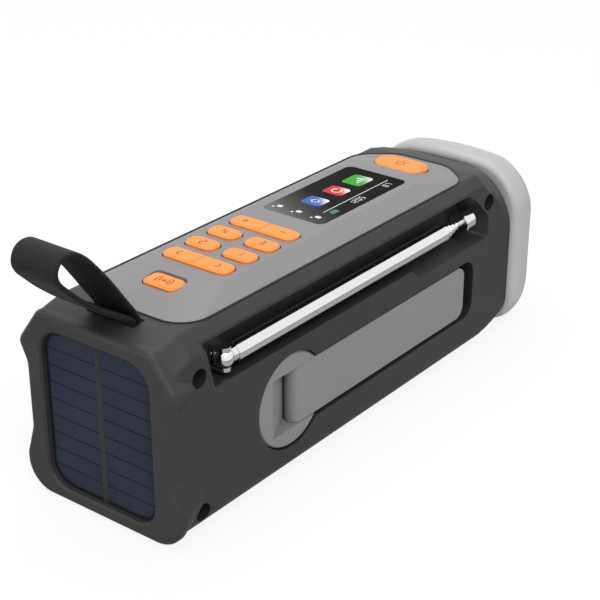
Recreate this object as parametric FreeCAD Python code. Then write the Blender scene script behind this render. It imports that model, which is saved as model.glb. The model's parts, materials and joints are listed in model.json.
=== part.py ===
import FreeCAD, Part
import math
import os

from FreeCAD import Vector

# Hand crank phone charger with radio, display, lamp and solar panel, in millimetres.
# +X points from the solar end to the lamp, -Y is the crank side, +Z is up, and the
# origin is the middle of the flat underside. "Station" is a distance along X from the
# rear face of the housing.

# ---------------------------------------------------------------- driving dimensions

# Housing
HOUSING_LENGTH = 166.0
HOUSING_WIDTH = 52.0
DECK_HEIGHT = 58.8
BEVEL = 5.2
BEVEL_RADIUS = 2.5
BOTTOM_RADIUS = 6.0
WALL = 2.4
REAR_WALL = 6.4
LINER = 1.8

# Front collar
COLLAR_LENGTH = 14.0
COLLAR_WIDTH = 53.0
COLLAR_DROP = 2.9
COLLAR_BEVEL = 11.7
COLLAR_BEVEL_RADIUS = 19.4
COLLAR_BOTTOM_RADIUS = 12.0
COLLAR_LEDGE = 3.2
COLLAR_STEPS = 3
COLLAR_EASE = 1.5

# Rear frame round the solar panel, with its corner bumpers
FRAME_PROUD = 2.2
FRAME_LENGTH = 3.2
FRAME_EDGE = 1.8
FRAME_DROP = 1.5
FRAME_SLOPE_LENGTH = 8.0
FRAME_FOOT_RADIUS = 9.0
BUMPER_REACH = 2.9
BUMPER_LENGTH = 14.0
BUMPER_SINK = 3.6
BUMPER_RADIUS = 3.0
NOTCH_RADIUS = 5.0
TOP_BUMPER_DROP = 12.4
LOW_BUMPER_HEIGHT = 10.8
NOTCH_TOP_DROP = 18.6
NOTCH_BOTTOM = 20.0

# Top panel
PANEL_STATION = 12.0
PANEL_LENGTH = 140.2
PANEL_WIDTH = 40.8
PANEL_CROWN = 3.2
PANEL_THICKNESS = 2.2
PANEL_GAP = 0.15
PANEL_LIP = 1.8
PLATEAU_WIDTH = 28.0
PLATEAU_REAR_SLOPE = 19.0
PLATEAU_FRONT_SLOPE = 22.0
PANEL_REAR_RADIUS = 9.0
PANEL_FRONT_RADIUS = 10.0
PANEL_NOSE = 8.2
PANEL_NOSE_WIDTH = 20.0

# Keys: sizes along X and Y, stations of their centres
KEY_PROUD = 0.9
KEY_GAP = 0.35
KEY_TRAVEL = 0.8
KEY_FLANGE = 0.7
KEY_FLANGE_THICKNESS = 0.8
KEY_PLAY = 0.05
KEY_STEM = 3.0
KEY_EDGE = 0.5
SMALL_KEY = (6.2, 10.4)
SMALL_KEY_RADIUS = 2.4
SMALL_KEY_PITCH_X = 9.6
SMALL_KEY_PITCH_Y = 13.8
ROCKER = (6.4, 23.6)
ROCKER_RADIUS = 2.6
ROCKER_OFFSET = 14.5
ROCKER_STEM_PITCH = 14.0
ROCKER_FLANGE = 8.0
ROCKER_PLAY = 0.3
ROCKER_GROOVE = 0.3
KEYPAD_STATION = 55.0
ALARM_KEY = (7.0, 11.6)
ALARM_KEY_RADIUS = 2.0
ALARM_KEY_STATION = 26.5
ALARM_KEY_DROP = 0.5
LAMP_BUTTON = (9.8, 18.4)
LAMP_BUTTON_RADIUS = 4.7
LAMP_BUTTON_STATION = 139.5
LAMP_BUTTON_DROP = 0.3

# Display
DISPLAY_STATION = 82.0
DISPLAY_LENGTH = 44.5
DISPLAY_WIDTH = 22.4
DISPLAY_RADIUS = 2.5
WINDOW_THICKNESS = 1.2
WINDOW_LEDGE = 1.2
MODULE_THICKNESS = 2.8
MODULE_MARGIN = 1.6

# Boards
BOARD_THICKNESS = 1.6
BOARD_DROP = 6.8
BOARD_STATION = 18.0
BOARD_LENGTH = 126.0
BOARD_LEFT = 16.6
BOARD_RIGHT = 21.0
SWITCH_SIZE = 4.2
SWITCH_HEIGHT = 2.0
RAIL_HEIGHT = 1.8
RAIL_WIDTH = 3.0

# Antenna and its channel
ANTENNA_DROP = 12.4
ANTENNA_DEPTH = 3.2
ANTENNA_STATION = 24.0
ANTENNA_TUBE_RADIUS = 2.9
ANTENNA_STEP = 0.48
ANTENNA_WALL = 0.43
ANTENNA_SECTIONS = 5
ANTENNA_FIRST_LENGTH = 102.0
ANTENNA_SHOULDER = 2.4
ANTENNA_TIP_RADIUS = 3.2
ANTENNA_TIP_LENGTH = 5.2
ANTENNA_RING_RADIUS = 3.5
ANTENNA_RING_LENGTH = 1.2
KNUCKLE_RADIUS = 2.9
KNUCKLE_HEIGHT = 4.4
KNUCKLE_GAP = 0.15
NECK_LENGTH = 3.5
FORK_THICKNESS = 1.2
FORK_WIDTH = 3.8
STUD_FLANGE = 1.2
STUD_FLANGE_THICKNESS = 1.2
PIVOT_PIN_RADIUS = 0.9
RUNNING_GAP = 0.05
CHANNEL_DEPTH = 7.0
CHANNEL_BOTTOM_DROP = 17.2
CHANNEL_TOP_DROP = 3.6
CHANNEL_STATION = 13.0
CHANNEL_LEAN = 3.6
CHANNEL_FRONT_MARGIN = 13.2
SCOOP_DROP = 3.6
SCOOP_LENGTH = 44.0
CHANNEL_RAMP = 6.8

# Crank
CRANK_STATION = 49.2
CRANK_HEIGHT = 23.3
DISC_RADIUS = 14.5
DISC_GAP = 0.4
DISC_INSET = 0.4
DISC_FLOOR = 2.3
DISC_EDGE = 0.5
ARM_WIDTH = 18.0
ARM_THICKNESS = 5.4
ARM_LENGTH = 86.0
ARM_INSET = 0.6
ARM_GAP = 0.2
ARM_END_RADIUS = 4.0
ARM_RIB = 1.6
BARREL_RADIUS = 2.8
BARREL_OFFSET = 4.8
HINGE_PIN_RADIUS = 1.0
RAMP_OFFSET = 8.4
TROUGH_GAP = 1.1
TROUGH_DEPTH_GAP = 0.5
FINGER_GAP = 4.6
KNOB_RADIUS = 6.8
KNOB_WAIST = 5.4
KNOB_LENGTH = 13.4
KNOB_BORE = 2.0
KNOB_INSET = 9.0
KNOB_GAP = 0.3
KNOB_HEAD_RADIUS = 3.6
KNOB_HEAD_LENGTH = 1.6
KNOB_WELL_GAP = 1.4
SHAFT_RADIUS = 3.0
BUSH_GAP = 0.1

# Gear train
PLATE_THICKNESS = 1.2
GEAR_GAP = 0.35
DRIVE_MODULE = 0.6
DRIVE_TEETH = 56
IDLER_PINION_TEETH = 14
DRIVE_FACE = 3.2
ROTOR_MODULE = 0.5
IDLER_TEETH = 48
ROTOR_TEETH = 12
IDLER_FACE = 2.2
IDLER_ANGLE = 155.0
ROTOR_ANGLE = -118.0
IDLER_AXLE_RADIUS = 1.5
ROTOR_SHAFT_RADIUS = 0.8
BACKLASH = 0.14
PRESSURE_ANGLE = 20.0
GENERATOR_RADIUS = 12.5
GENERATOR_DEPTH = 12.0
GENERATOR_WALL = 1.0
ROTOR_AIR_GAP = 0.5
PILLAR_RADIUS = 1.8

# Power cells
CELL_RADIUS = 9.2
CELL_LENGTH = 65.0
CELL_STATION = 71.0
CELL_CENTRE_Y = 9.8
CELL_GAP = 0.8
HOLDER_WALL = 1.5
HOLDER_GAP = 0.1
CELL_TERMINAL = 0.8

# Loudspeaker, on the side away from the crank
SPEAKER_STATION = 44.0
SPEAKER_HEIGHT = 28.0
SPEAKER_RADIUS = 17.0
SPEAKER_RIM = 2.0
SPEAKER_DEPTH = 12.5
SPEAKER_MAGNET_RADIUS = 9.0
SPEAKER_MAGNET_DEPTH = 4.5
GRILLE_SLOTS = 7
GRILLE_PITCH = 4.2
GRILLE_SLOT = 1.9
GRILLE_RADIUS = 14.5

# Ports
PORT_STATION = 102.0
PORT_LENGTH = 33.0
PORT_DROP = 2.85
PORT_HEIGHT = 10.0
PORT_RADIUS = 2.5
COVER_THICKNESS = 1.6
COVER_GAP = 0.3
COVER_LIP = 1.8
COVER_PLUG = 1.6
COVER_GRIP_INSET = 2.5
COVER_GRIP_LENGTH = 2.5
COVER_GRIP_HEIGHT = 4.0
COVER_GRIP_PROUD = 0.7
USB_A = (13.1, 5.7)
USB_A_DEPTH = 14.0
USB_C = (8.9, 3.2)
USB_C_DEPTH = 8.0
SOCKET_WALL = 0.35
SOCKET_SPREAD = 8.0

# Solar panel
SOLAR_WIDTH = 39.2
SOLAR_HEIGHT = 48.0
SOLAR_BOTTOM = 4.4
SOLAR_RADIUS = 7.0
SOLAR_RECESS = 2.0
SOLAR_THICKNESS = 1.9
SOLAR_GAP = 0.2
SOLAR_FLARE = 0.6
WIRE_HOLE_RADIUS = 2.0

# Lamp
LENS_LENGTH = 21.5
LENS_OVERHANG = 2.3
LENS_TOP_OVERHANG = 2.8
LENS_BOTTOM = 0.3
LENS_TOP_RADIUS = 25.0
LENS_BOTTOM_RADIUS = 17.0
LENS_CROWN = 1.4
LENS_DOME_LENGTH = 18.2
LENS_DOME_INSET = 13.5
LENS_REAR_RADIUS = 2.1
LENS_WALL = 2.0
LENS_SPIGOT = 1.8
LENS_GAP = 0.2
REFLECTOR_FLANGE = 1.4
REFLECTOR_WALL = 1.2
REFLECTOR_DEPTH = 6.0
REFLECTOR_MOUTH_RADIUS = 20.0
REFLECTOR_MIDDLE_RADIUS = 16.5
REFLECTOR_THROAT_RADIUS = 11.0
LED_BOARD_SIZE = 24.0
LED_BOARD_THICKNESS = 1.4
LED_SIZE = 3.4
LED_PITCH = 6.0

# Housing screws
SCREW_STATIONS = (10.5, 152.2)
SCREW_LOW = 5.9
SCREW_REAR_DROP = 11.9
SCREW_FRONT_DROP = 8.4
SCREW_WELL_RADIUS = 2.75
SCREW_HEAD_RADIUS = 2.3
SCREW_HEAD_HEIGHT = 1.8
SCREW_SHANK_RADIUS = 1.25
SCREW_SINK = 5.5
SCREW_BITE = 9.0
POST_RADIUS = 3.9

# Wrist strap
STRAP_WIDTH = 16.4
STRAP_THICKNESS = 1.4
STRAP_POINTS = 40
STRAP_PIN_RADIUS = 1.0
STRAP_PIN_STATION = 7.4
STRAP_PIN_DROP = 5.6
STRAP_GAP = 0.35
SLOT_GAP = 0.45
SLOT_MOUTH = 4.4
SLOT_MOUTH_DEPTH = 2.0

# ------------------------------------------------------------------- derived places

HALF_WIDTH = HOUSING_WIDTH / 2
COLLAR_HEIGHT = DECK_HEIGHT - COLLAR_DROP
BODY_SECTION = (HOUSING_WIDTH, DECK_HEIGHT, BEVEL, BEVEL_RADIUS, BOTTOM_RADIUS)
MOUTH_SECTION = (COLLAR_WIDTH, COLLAR_HEIGHT, COLLAR_BEVEL, COLLAR_BEVEL_RADIUS, COLLAR_BOTTOM_RADIUS)
SOLAR_MIDDLE = SOLAR_BOTTOM + SOLAR_HEIGHT / 2
CROWN_HEIGHT = DECK_HEIGHT + PANEL_CROWN
PANEL_UNDERSIDE = CROWN_HEIGHT - PANEL_THICKNESS
PANEL_SEAT = DECK_HEIGHT - WALL
BOARD_TOP = DECK_HEIGHT - BOARD_DROP
BOARD_BOTTOM = BOARD_TOP - BOARD_THICKNESS
SWITCH_TOP = BOARD_TOP + SWITCH_HEIGHT
STEM_BOTTOM = SWITCH_TOP + KEY_TRAVEL + KEY_PLAY
ANTENNA_HEIGHT = DECK_HEIGHT - ANTENNA_DROP
CHANNEL_BOTTOM = DECK_HEIGHT - CHANNEL_BOTTOM_DROP
CHANNEL_TOP = DECK_HEIGHT - CHANNEL_TOP_DROP
PORT_MIDDLE = BOARD_BOTTOM - PORT_DROP
SCREW_HIGH_REAR = DECK_HEIGHT - SCREW_REAR_DROP
SCREW_HIGH_FRONT = DECK_HEIGHT - SCREW_FRONT_DROP
STRAP_PIN_HEIGHT = DECK_HEIGHT - STRAP_PIN_DROP
OUTSIDE = HOUSING_LENGTH


def station(distance):
    """X of a distance measured from the rear face."""
    return distance - HOUSING_LENGTH / 2


FRONT_X = station(HOUSING_LENGTH)
REAR_X = station(-FRAME_PROUD)
FRAME_TOP = DECK_HEIGHT - FRAME_DROP
SOLAR_FACE_X = REAR_X + SOLAR_RECESS
SOLAR_SEAT_X = SOLAR_FACE_X + SOLAR_THICKNESS
KEYPAD_X = station(KEYPAD_STATION)
CRANK_X = station(CRANK_STATION)
HINGE_X = CRANK_X + BARREL_OFFSET
HINGE_Y = -HALF_WIDTH + ARM_INSET + BARREL_RADIUS
ARM_TIP_X = HINGE_X + ARM_LENGTH
KNOB_X = ARM_TIP_X - KNOB_INSET
ARM_FACE_Y = -HALF_WIDTH + ARM_INSET
ARM_BACK_Y = ARM_FACE_Y + ARM_THICKNESS
DISC_FACE_Y = -HALF_WIDTH + DISC_INSET
SLOT_FLOOR_Y = HINGE_Y + BARREL_RADIUS + ARM_GAP
DISC_BACK_Y = SLOT_FLOOR_Y + DISC_FLOOR
WELL_FLOOR_Y = DISC_BACK_Y + DISC_GAP
FRONT_PLATE_Y = WELL_FLOOR_Y + LINER
DRIVE_Y = FRONT_PLATE_Y + PLATE_THICKNESS + GEAR_GAP
IDLER_Y = DRIVE_Y + DRIVE_FACE + GEAR_GAP
BACK_PLATE_Y = IDLER_Y + IDLER_FACE + GEAR_GAP
GENERATOR_Y = BACK_PLATE_Y + PLATE_THICKNESS
DRIVE_RADIUS = DRIVE_MODULE * DRIVE_TEETH / 2
DRIVE_DISTANCE = DRIVE_MODULE * (DRIVE_TEETH + IDLER_PINION_TEETH) / 2
ROTOR_DISTANCE = ROTOR_MODULE * (IDLER_TEETH + ROTOR_TEETH) / 2
IDLER_X = CRANK_X + DRIVE_DISTANCE * math.cos(math.radians(IDLER_ANGLE))
IDLER_Z = CRANK_HEIGHT + DRIVE_DISTANCE * math.sin(math.radians(IDLER_ANGLE))
ROTOR_X = IDLER_X + ROTOR_DISTANCE * math.cos(math.radians(ROTOR_ANGLE))
ROTOR_Z = IDLER_Z + ROTOR_DISTANCE * math.sin(math.radians(ROTOR_ANGLE))
ANTENNA_Y = -HALF_WIDTH + ANTENNA_DEPTH
ANTENNA_X = station(ANTENNA_STATION)
CHANNEL_FLOOR_Y = -HALF_WIDTH + CHANNEL_DEPTH
SPEAKER_FACE_Y = HALF_WIDTH - WALL
STRAP_PIN_X = station(STRAP_PIN_STATION)


# ------------------------------------------------------------------ geometry helpers

def on_yz(x):
    """Placer that puts flat (y, z) points into the plane at x."""
    return lambda point: Vector(x, point.x, point.y)


def on_xz(y):
    """Placer that puts flat (x, z) points into the plane at y."""
    return lambda point: Vector(point.x, y, point.y)


def on_xy(z):
    """Placer that puts flat (x, y) points into the plane at z."""
    return lambda point: Vector(point.x, point.y, z)


def rounded_wire(points, radii, place):
    """Closed wire round flat corner points, with an arc of its own radius at each corner."""
    corners = []
    for index, (across, along) in enumerate(points):
        corner = Vector(across, along, 0)
        before = Vector(*points[index - 1], 0) - corner
        after = Vector(*points[(index + 1) % len(points)], 0) - corner
        before.normalize()
        after.normalize()
        radius = radii[index]
        if radius == 0:
            corners.append((corner, None, corner))
            continue
        half_angle = before.getAngle(after) / 2
        setback = radius / math.tan(half_angle)
        bisector = before + after
        bisector.normalize()
        middle = corner + bisector * (radius / math.sin(half_angle) - radius)
        corners.append((corner + before * setback, middle, corner + after * setback))
    edges = []
    for index, (start, middle, end) in enumerate(corners):
        if middle is not None:
            edges.append(Part.Arc(place(start), place(middle), place(end)).toShape())
        following = corners[(index + 1) % len(corners)][0]
        edges.append(Part.LineSegment(place(end), place(following)).toShape())
    return Part.Wire(edges)


def rectangle(centre, size):
    """Corner points of a rectangle round a centre."""
    half_across = size[0] / 2
    half_along = size[1] / 2
    signs = ((-1, -1), (1, -1), (1, 1), (-1, 1))
    return [(centre[0] + i * half_across, centre[1] + j * half_along) for i, j in signs]


def prism_yz(points, radii, x_from, x_to):
    """Solid with a (y, z) outline between two x planes."""
    return Part.Face(rounded_wire(points, radii, on_yz(x_from))).extrude(Vector(x_to - x_from, 0, 0))


def prism_xz(points, radii, y_from, y_to):
    """Solid with an (x, z) outline between two y planes."""
    return Part.Face(rounded_wire(points, radii, on_xz(y_from))).extrude(Vector(0, y_to - y_from, 0))


def prism_xy(points, radii, z_from, z_to):
    """Solid with an (x, y) outline between two z planes."""
    return Part.Face(rounded_wire(points, radii, on_xy(z_from))).extrude(Vector(0, 0, z_to - z_from))


def block(x_from, x_to, y_from, y_to, z_from, z_to):
    """Rectangular solid between three pairs of planes."""
    return Part.makeBox(x_to - x_from, y_to - y_from, z_to - z_from, Vector(x_from, y_from, z_from))


def rod_x(radius, x_from, x_to, y, z):
    """Round solid along X."""
    return Part.makeCylinder(radius, x_to - x_from, Vector(x_from, y, z), Vector(1, 0, 0))


def rod_y(radius, y_from, y_to, x, z):
    """Round solid along Y."""
    return Part.makeCylinder(radius, y_to - y_from, Vector(x, y_from, z), Vector(0, 1, 0))


def rod_z(radius, z_from, z_to, x, y):
    """Round solid along Z."""
    return Part.makeCylinder(radius, z_to - z_from, Vector(x, y, z_from), Vector(0, 0, 1))


def turned_y(profile, x, z):
    """Solid turned about an axis along Y, from (radius, y) points."""
    points = [Vector(x + radius, y, z) for radius, y in profile]
    face = Part.Face(Part.makePolygon(points + points[:1]))
    return face.revolve(Vector(x, 0, z), Vector(0, 1, 0), 360)


def turned_x(profile, y, z):
    """Solid turned about an axis along X, from (radius, x) points."""
    points = [Vector(x, y + radius, z) for radius, x in profile]
    face = Part.Face(Part.makePolygon(points + points[:1]))
    return face.revolve(Vector(0, y, z), Vector(1, 0, 0), 360)


def fused(solids):
    """One solid out of several that overlap or touch."""
    return solids[0].multiFuse(solids[1:]).removeSplitter()


def cut(solid, tools):
    """A solid less several others."""
    return solid.cut(Part.makeCompound(tools))


def save(name, shape):
    """Write one sub-part's STEP file."""
    if not shape.isValid():
        raise ValueError(name + " is not a valid shape")
    shape.exportStep(os.path.join("parts", name + ".step"))


# ------------------------------------------------------------------------- housing

def section(width, top, bevel, radius, bottom, inset):
    """Corner points and radii of a cross-section, moved inwards by inset."""
    half = width / 2 - inset
    slack = inset * (math.sqrt(2) - 1)
    side_top = top - bevel - slack
    deck_half = width / 2 - bevel - slack
    points = [(-half, inset), (half, inset), (half, side_top)]
    points += [(deck_half, top - inset), (-deck_half, top - inset), (-half, side_top)]
    low = bottom - inset
    high = max(radius - inset, 0.5)
    return points, [low, low, high, high, high, high]


def body_form(inset, rear_x):
    """The long body and its front collar, moved inwards by inset."""
    collar_x = FRONT_X - COLLAR_LENGTH
    wires = []
    for step in range(COLLAR_STEPS + 1):
        along = step / COLLAR_STEPS
        eased = along ** COLLAR_EASE
        size = [start + (end - start) * eased for start, end in zip(BODY_SECTION, MOUTH_SECTION)]
        wires.append(rounded_wire(*section(*size, inset), on_yz(collar_x + COLLAR_LENGTH * along)))
    body = prism_yz(*section(*BODY_SECTION, inset), rear_x, collar_x)
    return fused([body, Part.makeLoft(wires, True, True)])


def frame_outline(inset):
    """Corner points and radii of the rear frame: low bumper, notch and top bumper on each side."""
    bulge = HALF_WIDTH + BUMPER_REACH
    half = [(bulge, 0), (bulge, LOW_BUMPER_HEIGHT), (HALF_WIDTH, NOTCH_BOTTOM)]
    half += [(HALF_WIDTH, DECK_HEIGHT - NOTCH_TOP_DROP), (bulge, DECK_HEIGHT - TOP_BUMPER_DROP)]
    half.append((HALF_WIDTH - BEVEL, FRAME_TOP))
    middle = FRAME_TOP / 2
    across = 1 - inset / bulge
    up = 1 - inset / middle
    half = [(y * across, middle + (z - middle) * up) for y, z in half]
    points = half + [(-y, z) for y, z in reversed(half)]
    radii = [FRAME_FOOT_RADIUS, NOTCH_RADIUS, NOTCH_RADIUS, NOTCH_RADIUS, BUMPER_RADIUS, BEVEL_RADIUS]
    radii = [radius * across for radius in radii]
    return points, radii + radii[::-1]


def rear_end():
    """Rear end: frame with a rounded rim, its slope up to the deck, and the bumpers' run-out."""
    seam = REAR_X + FRAME_LENGTH
    frame = prism_yz(*frame_outline(0), REAR_X, seam)
    rim = [edge for edge in frame.Edges if edge.BoundBox.XMax < REAR_X + FRAME_LENGTH / 2]
    frame = frame.makeFillet(FRAME_EDGE, rim)
    side_rise = DECK_HEIGHT - TOP_BUMPER_DROP
    lean = (FRAME_TOP - side_rise) / (BUMPER_REACH + BEVEL)
    corner = side_rise + BUMPER_REACH * lean
    deck_half = HALF_WIDTH - BEVEL
    points = [(-HALF_WIDTH, 0), (HALF_WIDTH, 0), (HALF_WIDTH, corner)]
    points += [(deck_half, FRAME_TOP), (-deck_half, FRAME_TOP), (-HALF_WIDTH, corner)]
    body_points, radii = section(*BODY_SECTION, 0)
    slope_wires = [rounded_wire(points, radii, on_yz(seam))]
    slope_wires.append(rounded_wire(body_points, radii, on_yz(station(FRAME_SLOPE_LENGTH))))
    run_out_wires = [rounded_wire(*frame_outline(0), on_yz(seam))]
    run_out_wires.append(rounded_wire(*frame_outline(BUMPER_SINK), on_yz(station(BUMPER_LENGTH))))
    return [frame] + [Part.makeLoft(wires, True, True) for wires in (slope_wires, run_out_wires)]


def channel_outlines(margin):
    """Antenna channel outlines in (x, z): at the side face and on the channel's floor."""
    rear = station(CHANNEL_STATION) - margin
    front = FRONT_X - CHANNEL_FRONT_MARGIN + margin
    low = CHANNEL_BOTTOM - margin
    high = CHANNEL_TOP + margin
    scoop_rear = front - SCOOP_LENGTH
    scoop_low = low - SCOOP_DROP
    shoulder = CHANNEL_RAMP * 1.5
    side = [(rear, high), (rear + CHANNEL_LEAN, low), (scoop_rear, low), (scoop_rear + SCOOP_DROP, scoop_low)]
    side += [(front, scoop_low), (front, low + SCOOP_DROP), (front - shoulder, high)]
    end = front - CHANNEL_RAMP
    floor = [(rear, high), (rear + CHANNEL_LEAN, low), (scoop_rear, low), (scoop_rear + SCOOP_DROP, low - 0.2)]
    floor += [(end, low - 0.2), (end, low + SCOOP_DROP), (front - shoulder - 1, high)]
    return side, floor, [1.0, 1.0, 0.5, 0.5, 1.0, 2.0, 2.0]


def channel(margin, floor_y):
    """Volume of the antenna channel, wider by margin, down to floor_y."""
    side, floor, radii = channel_outlines(margin)
    inner = rounded_wire(floor, radii, on_xz(floor_y))
    outer = rounded_wire(side, radii, on_xz(-HALF_WIDTH))
    ramped = Part.makeLoft([inner, outer], True, True)
    open_side = prism_xz(side, radii, -HALF_WIDTH, -HALF_WIDTH - CHANNEL_DEPTH)
    return fused([ramped, open_side])


def crank_recess(margin):
    """Volume of the disc well, the arm's trough and the knob well, wider by margin."""
    outside = -HALF_WIDTH - CHANNEL_DEPTH
    disc_well = rod_y(DISC_RADIUS + DISC_GAP + margin, outside, WELL_FLOOR_Y + margin, CRANK_X, CRANK_HEIGHT)
    half = ARM_WIDTH / 2 + TROUGH_GAP + margin
    end_x = ARM_TIP_X + FINGER_GAP + margin
    points = [(CRANK_X, CRANK_HEIGHT - half), (end_x, CRANK_HEIGHT - half)]
    points += [(end_x, CRANK_HEIGHT + half), (CRANK_X, CRANK_HEIGHT + half)]
    corner = ARM_END_RADIUS + TROUGH_GAP
    trough_floor = ARM_BACK_Y + TROUGH_DEPTH_GAP + margin
    trough = prism_xz(points, [0, corner, corner, 0], trough_floor, outside)
    well_half = KNOB_RADIUS + KNOB_WELL_GAP + margin
    size = (2 * well_half + KNOB_WELL_GAP, 2 * well_half)
    well_points = rectangle((KNOB_X + KNOB_WELL_GAP / 2, CRANK_HEIGHT), size)
    well_floor = ARM_BACK_Y + KNOB_GAP + KNOB_LENGTH + KNOB_HEAD_LENGTH + KNOB_WELL_GAP + margin
    well = prism_xz(well_points, [KNOB_RADIUS] * 4, outside, well_floor)
    return fused([disc_well, trough, well])


def panel_outline(inset):
    """Corner points and radii of the panel's edge in (x, y), moved inwards by inset."""
    half = PANEL_WIDTH / 2 - inset
    rear = station(PANEL_STATION) + inset
    front = station(PANEL_STATION + PANEL_LENGTH) - inset
    nose = PANEL_NOSE_WIDTH / 2 - inset / 2
    shoulder = front - PANEL_NOSE
    points = [(rear, -half), (shoulder, -half), (front, -nose), (front, nose), (shoulder, half), (rear, half)]
    round_rear = PANEL_REAR_RADIUS - inset
    round_front = PANEL_FRONT_RADIUS - inset
    return points, [round_rear, round_front, round_front, round_front, round_front, round_rear]


def plateau_outline(inset):
    """Corner points and radii of the panel's flat top in (x, y), moved inwards by inset."""
    half = PLATEAU_WIDTH / 2 - inset
    rear = station(PANEL_STATION + PLATEAU_REAR_SLOPE) + inset
    front = station(PANEL_STATION + PANEL_LENGTH - PLATEAU_FRONT_SLOPE) - inset
    nose = half / 2
    shoulder = front - PANEL_NOSE / 2
    points = [(rear, -half), (shoulder, -half), (front, -nose), (front, nose), (shoulder, half), (rear, half)]
    return points, [3.0, 3.0, 2.0, 2.0, 3.0, 3.0]


def solar_outline(margin):
    """Corner points and radii of the solar panel, grown by margin."""
    size = (SOLAR_WIDTH + 2 * margin, SOLAR_HEIGHT + 2 * margin)
    return rectangle((0, SOLAR_MIDDLE), size), [SOLAR_RADIUS + margin] * 4


def screw_places():
    """(x, z) of the three housing screws."""
    rear, front = (station(distance) for distance in SCREW_STATIONS)
    return [(rear, SCREW_LOW), (rear, SCREW_HIGH_REAR), (front, SCREW_HIGH_FRONT)]


def strap_slot(margin):
    """Pocket in the rear deck that holds the strap's end and its pin, under a narrower mouth."""
    reach = STRAP_PIN_RADIUS + STRAP_GAP + STRAP_THICKNESS + SLOT_GAP + margin
    half = STRAP_WIDTH / 2 + SLOT_GAP + margin
    mouth = SLOT_MOUTH / 2 + margin
    x = STRAP_PIN_X
    ceiling = DECK_HEIGHT - SLOT_MOUTH_DEPTH - margin
    pocket = block(x - reach, x + reach, -half, half, STRAP_PIN_HEIGHT - reach, ceiling)
    return fused([pocket, block(x - mouth, x + mouth, -half, half, ceiling, CROWN_HEIGHT)])


def panel_seat():
    """Volume that the top panel fills, with its clearance."""
    return prism_xy(*panel_outline(-PANEL_GAP), PANEL_SEAT, CROWN_HEIGHT)


def housing():
    """The two moulded halves of the housing."""
    outer = fused(rear_end() + [body_form(0, station(FRAME_SLOPE_LENGTH))])
    shell = outer.cut(body_form(WALL, station(REAR_WALL)))
    ledge = body_form(WALL - 0.5, station(REAR_WALL))
    mouth_x = FRONT_X - LENS_SPIGOT - REFLECTOR_FLANGE
    ledge_block = block(mouth_x - WALL, mouth_x, -OUTSIDE, OUTSIDE, 0, OUTSIDE)
    ledge_hole = body_form(WALL + COLLAR_LEDGE, station(REAR_WALL))
    ledge = ledge.common(ledge_block).cut(ledge_hole)
    lip_points, lip_radii = panel_outline(-PANEL_LIP)
    lip = prism_xy(lip_points, lip_radii, PANEL_SEAT - WALL / 2, PANEL_SEAT + WALL / 2)
    lip_hole = prism_xy(*panel_outline(PANEL_LIP), PANEL_SEAT - WALL, CROWN_HEIGHT)
    posts = [rod_y(POST_RADIUS, -OUTSIDE / 2, OUTSIDE / 2, x, z) for x, z in screw_places()]
    slot_wall = strap_slot(WALL / 2)
    solid = fused([shell, ledge, lip.common(outer)])
    solid = fused([solid, slot_wall.common(outer)] + [post.common(outer) for post in posts])
    solar_hole = prism_yz(*solar_outline(SOLAR_GAP), REAR_X - 1, SOLAR_SEAT_X)
    flare_wires = [rounded_wire(*solar_outline(SOLAR_GAP), on_yz(REAR_X + SOLAR_FLARE))]
    flare_wires.append(rounded_wire(*solar_outline(SOLAR_GAP + 2 * SOLAR_FLARE), on_yz(REAR_X - SOLAR_FLARE)))
    solar_hole = fused([solar_hole, Part.makeLoft(flare_wires, True, True)])
    wire_hole = rod_x(WIRE_HOLE_RADIUS, SOLAR_FACE_X, station(REAR_WALL + 1), 0, SOLAR_MIDDLE)
    pin_half = STRAP_WIDTH / 2 + SLOT_GAP + WALL
    pin_hole = rod_y(STRAP_PIN_RADIUS, -pin_half, pin_half, STRAP_PIN_X, STRAP_PIN_HEIGHT)
    solid = cut(solid, [lip_hole, panel_seat(), solar_hole, wire_hole, strap_slot(0), pin_hole])
    return outer, solid


def left_housing(outer, solid):
    """Crank side half: channel, crank recess, screw counterbores, board rail."""
    half_space = block(-OUTSIDE, OUTSIDE, -OUTSIDE, 0, -WALL, OUTSIDE)
    channel_liner = channel(LINER, CHANNEL_FLOOR_Y + LINER).common(outer)
    recess_liner = crank_recess(LINER).common(outer)
    rail_y = CHANNEL_FLOOR_Y + LINER
    rail_x = ANTENNA_X + FORK_WIDTH / 2 + STUD_FLANGE + 1
    rail_end = station(BOARD_STATION + BOARD_LENGTH - 8)
    rail = block(rail_x, rail_end, rail_y, rail_y + RAIL_WIDTH, BOARD_BOTTOM - RAIL_HEIGHT, BOARD_BOTTOM)
    half = fused([solid.common(half_space), channel_liner, recess_liner, rail])
    tools = [channel(0, CHANNEL_FLOOR_Y), crank_recess(0), panel_seat()]
    tools.append(rod_y(SHAFT_RADIUS + BUSH_GAP, WELL_FLOOR_Y - 1, FRONT_PLATE_Y + 1, CRANK_X, CRANK_HEIGHT))
    seat_y = -HALF_WIDTH + SCREW_SINK + SCREW_HEAD_HEIGHT
    for x, z in screw_places():
        tools.append(rod_y(SCREW_WELL_RADIUS, -OUTSIDE / 4, seat_y, x, z))
        tools.append(rod_y(SCREW_SHANK_RADIUS + BUSH_GAP, seat_y - 1, 1, x, z))
    stud_radius = FORK_WIDTH / 2
    tools.append(rod_y(stud_radius, CHANNEL_FLOOR_Y - 1, CHANNEL_FLOOR_Y + LINER + 1, ANTENNA_X, ANTENNA_HEIGHT))
    return cut(half, tools)


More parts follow.
